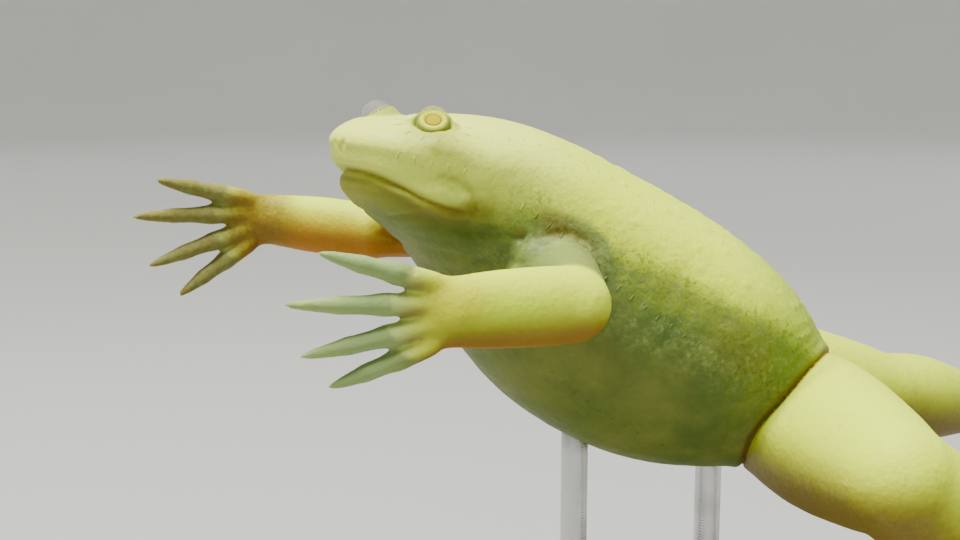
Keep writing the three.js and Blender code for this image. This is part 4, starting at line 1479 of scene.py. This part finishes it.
class FROG_OT_lateral_line(bpy.types.Operator):
    """Sets the stitch-like organs of the lateral line along the body and round the eyes"""

    bl_idname = "frog.lateral_line"
    bl_label = "Lateral line"

    def execute(self, context):
        skin = bpy.data.objects.get("skin")
        if skin is None:
            raise RuntimeError("The lateral line needs the skin")
        sizes = context.scene.frog_sizes
        piece = self.lines(skin)
        material = skin.data.materials[0]
        tree = self.tree(material)
        stitch = piece.modifiers.new("stitches", "NODES")
        stitch.node_group = tree
        values = {
            "Length": sizes.stitch_length,
            "Width": sizes.stitch_width,
            "Height": sizes.stitch_height,
            "Spacing": sizes.stitch_spacing,
            "Seed": sizes.stitch_seed,
        }
        for item in tree.interface.items_tree:
            if item.item_type == "SOCKET" and item.in_out == "INPUT" and item.name in values:
                stitch[item.identifier] = values[item.name]
        settle(piece)
        if not piece.data.polygons:
            raise RuntimeError("The lateral line came out empty")
        self.take_zones(skin.data, piece.data)
        dress(piece, "skin", material)
        return {"FINISHED"}

    def take_zones(self, skin, mesh):
        """Gives each stitch the colour zones of the skin under it."""
        tree = KDTree(len(skin.vertices))
        for i, vertex in enumerate(skin.vertices):
            tree.insert(vertex.co, i)
        tree.balance()
        near = [tree.find(vertex.co)[1] for vertex in mesh.vertices]
        for name in ZONES:
            values = np.empty(len(skin.vertices), np.float32)
            skin.attributes[name].data.foreach_get("value", values)
            write_values(mesh, name, values[near])

    def tracks(self):
        """Where the lines run: distances from the snout, sideways and over the spine."""
        found = []
        for sign in SIDES.values():
            for start, end, count, out_share, back_share, belly_share in BODY_LINES:
                at = np.linspace(start, end, count)
                width, rise, drop = between(OUTLINE, at).T
                found.append((at, sign * out_share * width, back_share * rise - belly_share * drop))
            at = np.linspace(4.5, 13, 26)
            found.append((at, sign * 0.97 * between(OUTLINE, at)[:, 0], np.full_like(at, -1.0)))
            turn = np.linspace(0.5, 5.7, 40)
            side = sign * (EYE_SIDE + 4.2 * np.sin(turn))
            found.append((EYE_AT + 4.9 * np.cos(turn), side, EYE_RISE - 1.6 * np.sin(turn)))
        return found

    def lines(self, skin):
        """Lines laid on the skin, with the skin's own normal at each point."""
        work = bmesh.new()
        work.from_mesh(skin.data)
        tree = BVHTree.FromBMesh(work)
        work.free()
        points, normals, edges = [], [], []
        for at, side, rise in self.tracks():
            place, _, left, up = station(at)
            first = len(points)
            for near_skin in place + left * side[:, None] + up * rise[:, None]:
                hit, normal, _, _ = tree.find_nearest(Vector(near_skin * MM))
                points.append(tuple(hit))
                normals.append(tuple(normal))
            edges += [(i, i + 1) for i in range(first, len(points) - 1)]
        mesh = bpy.data.meshes.new("lateral_line")
        mesh.from_pydata(points, edges, [])
        layer = mesh.attributes.new("skin_normal", "FLOAT_VECTOR", "POINT")
        layer.data.foreach_set("vector", np.array(normals, np.float32).ravel())
        return in_scene("lateral_line", mesh)

    def tree(self, material):
        """Nodes that put a small lens-shaped stitch across each line at even steps."""
        tree = bpy.data.node_groups.new("Lateral stitches", "GeometryNodeTree")
        face = tree.interface
        face.new_socket("Geometry", in_out="INPUT", socket_type="NodeSocketGeometry")
        for name in ("Length", "Width", "Height", "Spacing"):
            face.new_socket(name, in_out="INPUT", socket_type="NodeSocketFloat")
        face.new_socket("Seed", in_out="INPUT", socket_type="NodeSocketInt")
        face.new_socket("Geometry", in_out="OUTPUT", socket_type="NodeSocketGeometry")

        def node(kind, output, inputs=None, **settings):
            return add_node(tree, kind, inputs, **settings).outputs[output]

        def vary(low, high):
            inputs = {2: low, 3: high, "Seed": given["Seed"]}
            return node("FunctionNodeRandomValue", 1, inputs, data_type="FLOAT")

        given = add_node(tree, "NodeGroupInput").outputs
        curve = node("GeometryNodeMeshToCurve", 0, {"Mesh": given["Geometry"]})
        inputs = {"Curve": curve, "Length": given["Spacing"]}
        even = node("GeometryNodeResampleCurve", "Curve", inputs, mode="LENGTH")

        # Each stitch stands on the skin, along its line but for a small random turn
        inputs = {"Name": "skin_normal"}
        normal = node("GeometryNodeInputNamedAttribute", "Attribute", inputs, data_type="FLOAT_VECTOR")
        upright = node("FunctionNodeAlignRotationToVector", "Rotation", {"Vector": normal}, axis="Z")
        tangent = node("GeometryNodeInputTangent", "Tangent")
        inputs = {"Rotation": upright, "Vector": tangent}
        along = node("FunctionNodeAlignRotationToVector", "Rotation", inputs, axis="X", pivot_axis="Z")
        inputs = {"Axis": (0, 0, 1), "Angle": vary(-0.3, 0.3)}
        spin = node("FunctionNodeAxisAngleToRotation", "Rotation", inputs)
        inputs = {"Rotation": along, "Rotate By": spin}
        turned_by = node("FunctionNodeRotateRotation", "Rotation", inputs, rotation_space="LOCAL")

        lens = node("GeometryNodeMeshUVSphere", "Mesh", {"Segments": 12, "Rings": 6, "Radius": 0.5})
        size = node("ShaderNodeCombineXYZ", 0, {0: given["Width"], 1: given["Length"], 2: given["Height"]})
        inputs = {0: size, "Scale": vary(0.75, 1.1)}
        scaled = node("ShaderNodeVectorMath", "Vector", inputs, operation="SCALE")
        inputs = {"Points": even, "Instance": lens, "Rotation": turned_by, "Scale": scaled}
        placed = node("GeometryNodeInstanceOnPoints", "Instances", inputs)
        real = node("GeometryNodeRealizeInstances", "Geometry", {"Geometry": placed})
        inputs = {"Geometry": real, "Material": material}
        finish = node("GeometryNodeSetMaterial", "Geometry", inputs)
        add_node(tree, "NodeGroupOutput", {"Geometry": finish})
        return tree


class FROG_OT_stand(bpy.types.Operator):
    """Makes the display stand: a flat plate with softened edges and two turned rods"""

    bl_idname = "frog.stand"
    bl_label = "Stand"

    def execute(self, context):
        colours = context.scene.frog_colours
        plate = self.plate()
        dress(plate, "stand_base", base_material(colours))
        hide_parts("stand_base")
        steel = rod_material(colours)
        for name in ROD_PLACES:
            rod = self.rod(name)
            dress(rod, "stand_rod", steel)
            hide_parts(f"stand_rod_{name}")
        return {"FINISHED"}

    def plate(self):
        corner, height, edge, foot = BASE["corner"], BASE["height"], BASE["edge"], BASE["foot_edge"]
        x_corner, y_corner = BASE["width"] / 2 - corner, BASE["depth"] / 2 - corner
        outline = []
        for cx, cy, start in ((1, -1, -90), (1, 1, 0), (-1, 1, 90), (-1, -1, 180)):
            for step in range(17):
                a = math.radians(start + 90 * step / 16)
                outline.append((cx * x_corner, cy * y_corner, math.cos(a), math.sin(a)))
        levels = [(foot * (1 - math.sin(t)), foot * (1 - math.cos(t))) for t in quarter(5)]
        levels += [(edge * (1 - math.cos(t)), height - edge + edge * math.sin(t)) for t in quarter(7)]
        rings = np.array([
            [(x + (corner - inset) * c, y + (corner - inset) * s, z) for x, y, c, s in outline]
            for inset, z in levels
        ])
        inner_low, inner_high = rings[0] * [0.9, 0.9, 1], rings[-1] * [0.9, 0.9, 1]
        rings = np.concatenate([inner_low[None], rings, inner_high[None]])
        return mesh_object("stand_plate", [loft(vec(0, 0, 0), rings, vec(0, 0, height))])

    def rod(self, name):
        """A rod with a flared foot, from just inside the plate to just inside the belly."""
        low, high = (np.array(corner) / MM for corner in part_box(f"stand_rod_{name}"))
        x, y = (low[0] + high[0]) / 2, (low[1] + high[1]) / 2
        radius, foot, neck = ROD["radius"], ROD["foot_radius"], ROD["neck"]
        ground, top = BASE["height"] - 0.05, high[2] + 0.6
        profile = [(foot - 0.25, ground), (foot, ground + 0.25), (foot, ground + 1.0), (neck, ground + 1.25)]
        for t in quarter(8)[1:]:
            out = neck - (neck - radius) * math.sin(t)
            profile.append((out, ground + 1.25 + 1.3 * (1 - math.cos(t))))
        profile += [(radius, z) for z in np.linspace(ground + 3.2, top - 0.4, 14)]
        profile += [(radius - 0.12, top - 0.12), (radius - 0.4, top)]
        rings = np.array([
            [(x + r * math.cos(a), y + r * math.sin(a), z) for a in round_angles(48)]
            for r, z in profile
        ])
        return mesh_object(f"stand_steel_{name}", [loft(vec(x, y, ground), rings, vec(x, y, top))])


class FROG_OT_stage(bpy.types.Operator):
    """Sets the pale floor, the soft lights and the camera"""

    bl_idname = "frog.stage"
    bl_label = "Stage"

    def execute(self, context):
        scene = context.scene
        self.floor(scene.frog_colours)
        world = bpy.data.worlds.new("studio")
        world.use_nodes = True
        background = world.node_tree.nodes["Background"]
        background.inputs["Color"].default_value = WORLD_COLOUR
        background.inputs["Strength"].default_value = WORLD_STRENGTH
        scene.world = world
        for name, values in LIGHTS.items():
            self.light(name, *values)
        self.camera(scene)
        return {"FINISHED"}

    def floor(self, colours, sides=96):
        """A round floor that rises into a soft backdrop on every side."""
        profile = [(0.02, 0.0), (0.4, 0.0), (FLOOR_RADIUS, 0.0)]
        for t in np.linspace(0.1, np.pi / 2, 14):
            profile.append((FLOOR_RADIUS + FLOOR_CURVE * math.sin(t), FLOOR_CURVE * (1 - math.cos(t))))
        profile += [(FLOOR_RADIUS + FLOOR_CURVE, FLOOR_TOP)]
        work = bmesh.new()
        centre = work.verts.new((0, 0, 0))
        rings = [
            [work.verts.new((r * math.cos(a), r * math.sin(a), z)) for a in round_angles(sides)]
            for r, z in profile
        ]
        for k in range(sides):
            n = (k + 1) % sides
            work.faces.new((centre, rings[0][k], rings[0][n]))
            for a, b in zip(rings[:-1], rings[1:]):
                work.faces.new((a[k], b[k], b[n], a[n]))
        mesh = bpy.data.meshes.new("studio_floor")
        work.to_mesh(mesh)
        work.free()
        mesh.materials.append(floor_material(colours))
        floor = in_scene("studio_floor", mesh)
        smooth_faces(floor)

    def light(self, name, place, target, size, power, colour):
        data = bpy.data.lights.new(name, "AREA")
        data.size = size
        data.energy = power
        data.color = colour
        lamp = in_scene(name, data)
        lamp.location = place
        lamp.rotation_euler = (Vector(target) - Vector(place)).to_track_quat("-Z", "Y").to_euler()

    def camera(self, scene):
        """The photograph's view, from the frog's left and a little above, with the snout in its place."""
        azimuth, elevation, field = (math.radians(VIEW[key]) for key in ("azimuth", "elevation", "field"))
        level = math.cos(elevation)
        back = vec(math.sin(azimuth) * level, -math.cos(azimuth) * level, math.sin(elevation))
        right = unit(np.cross(-back, [0, 0, 1]))
        up = np.cross(right, -back)
        focal = FRAME_MIDDLE[0] / math.tan(field / 2)
        depth = VIEW["distance"]
        aside, over = SNOUT_PIXEL[0] - FRAME_MIDDLE[0], FRAME_MIDDLE[1] - SNOUT_PIXEL[1]
        snout = station(0.0)[0]
        place = snout - (right * aside / focal * depth + up * over / focal * depth - back * depth)
        data = bpy.data.cameras.new("photo view")
        data.sensor_width = SENSOR
        data.lens = SENSOR / 2 / math.tan(field / 2)
        data.clip_start = 0.005
        camera = in_scene("photo view", data)
        turn = Matrix((right, up, back)).transposed().to_4x4()
        camera.matrix_world = Matrix.Translation(Vector(place * MM)) @ turn
        scene.camera = camera


STEPS = ("skin", "eyes", "claws", "lateral_line", "stand", "stage")


class FROG_PT_panel(bpy.types.Panel):
    """Lists the frog's sizes, colours and pieces"""

    bl_idname = "FROG_PT_panel"
    bl_label = "Clawed frog"
    bl_space_type = "VIEW_3D"
    bl_region_type = "UI"
    bl_category = "Frog"

    def draw(self, context):
        column = self.layout.column()
        for group in (context.scene.frog_sizes, context.scene.frog_colours):
            for key in group.__annotations__:
                column.prop(group, key)
        for step in STEPS:
            column.operator(f"frog.{step}")


CLASSES = (
    FrogSizes,
    FrogColours,
    FROG_OT_skin,
    FROG_OT_eyes,
    FROG_OT_claws,
    FROG_OT_lateral_line,
    FROG_OT_stand,
    FROG_OT_stage,
    FROG_PT_panel,
)


def register():
    for kind in CLASSES:
        bpy.utils.register_class(kind)
    bpy.types.Scene.frog_sizes = PointerProperty(type=FrogSizes)
    bpy.types.Scene.frog_colours = PointerProperty(type=FrogColours)


def unregister():
    del bpy.types.Scene.frog_colours
    del bpy.types.Scene.frog_sizes
    for kind in reversed(CLASSES):
        bpy.utils.unregister_class(kind)


def main():
    register()
    for step in STEPS:
        getattr(bpy.ops.frog, step)()


if __name__ == "__main__":
    main()
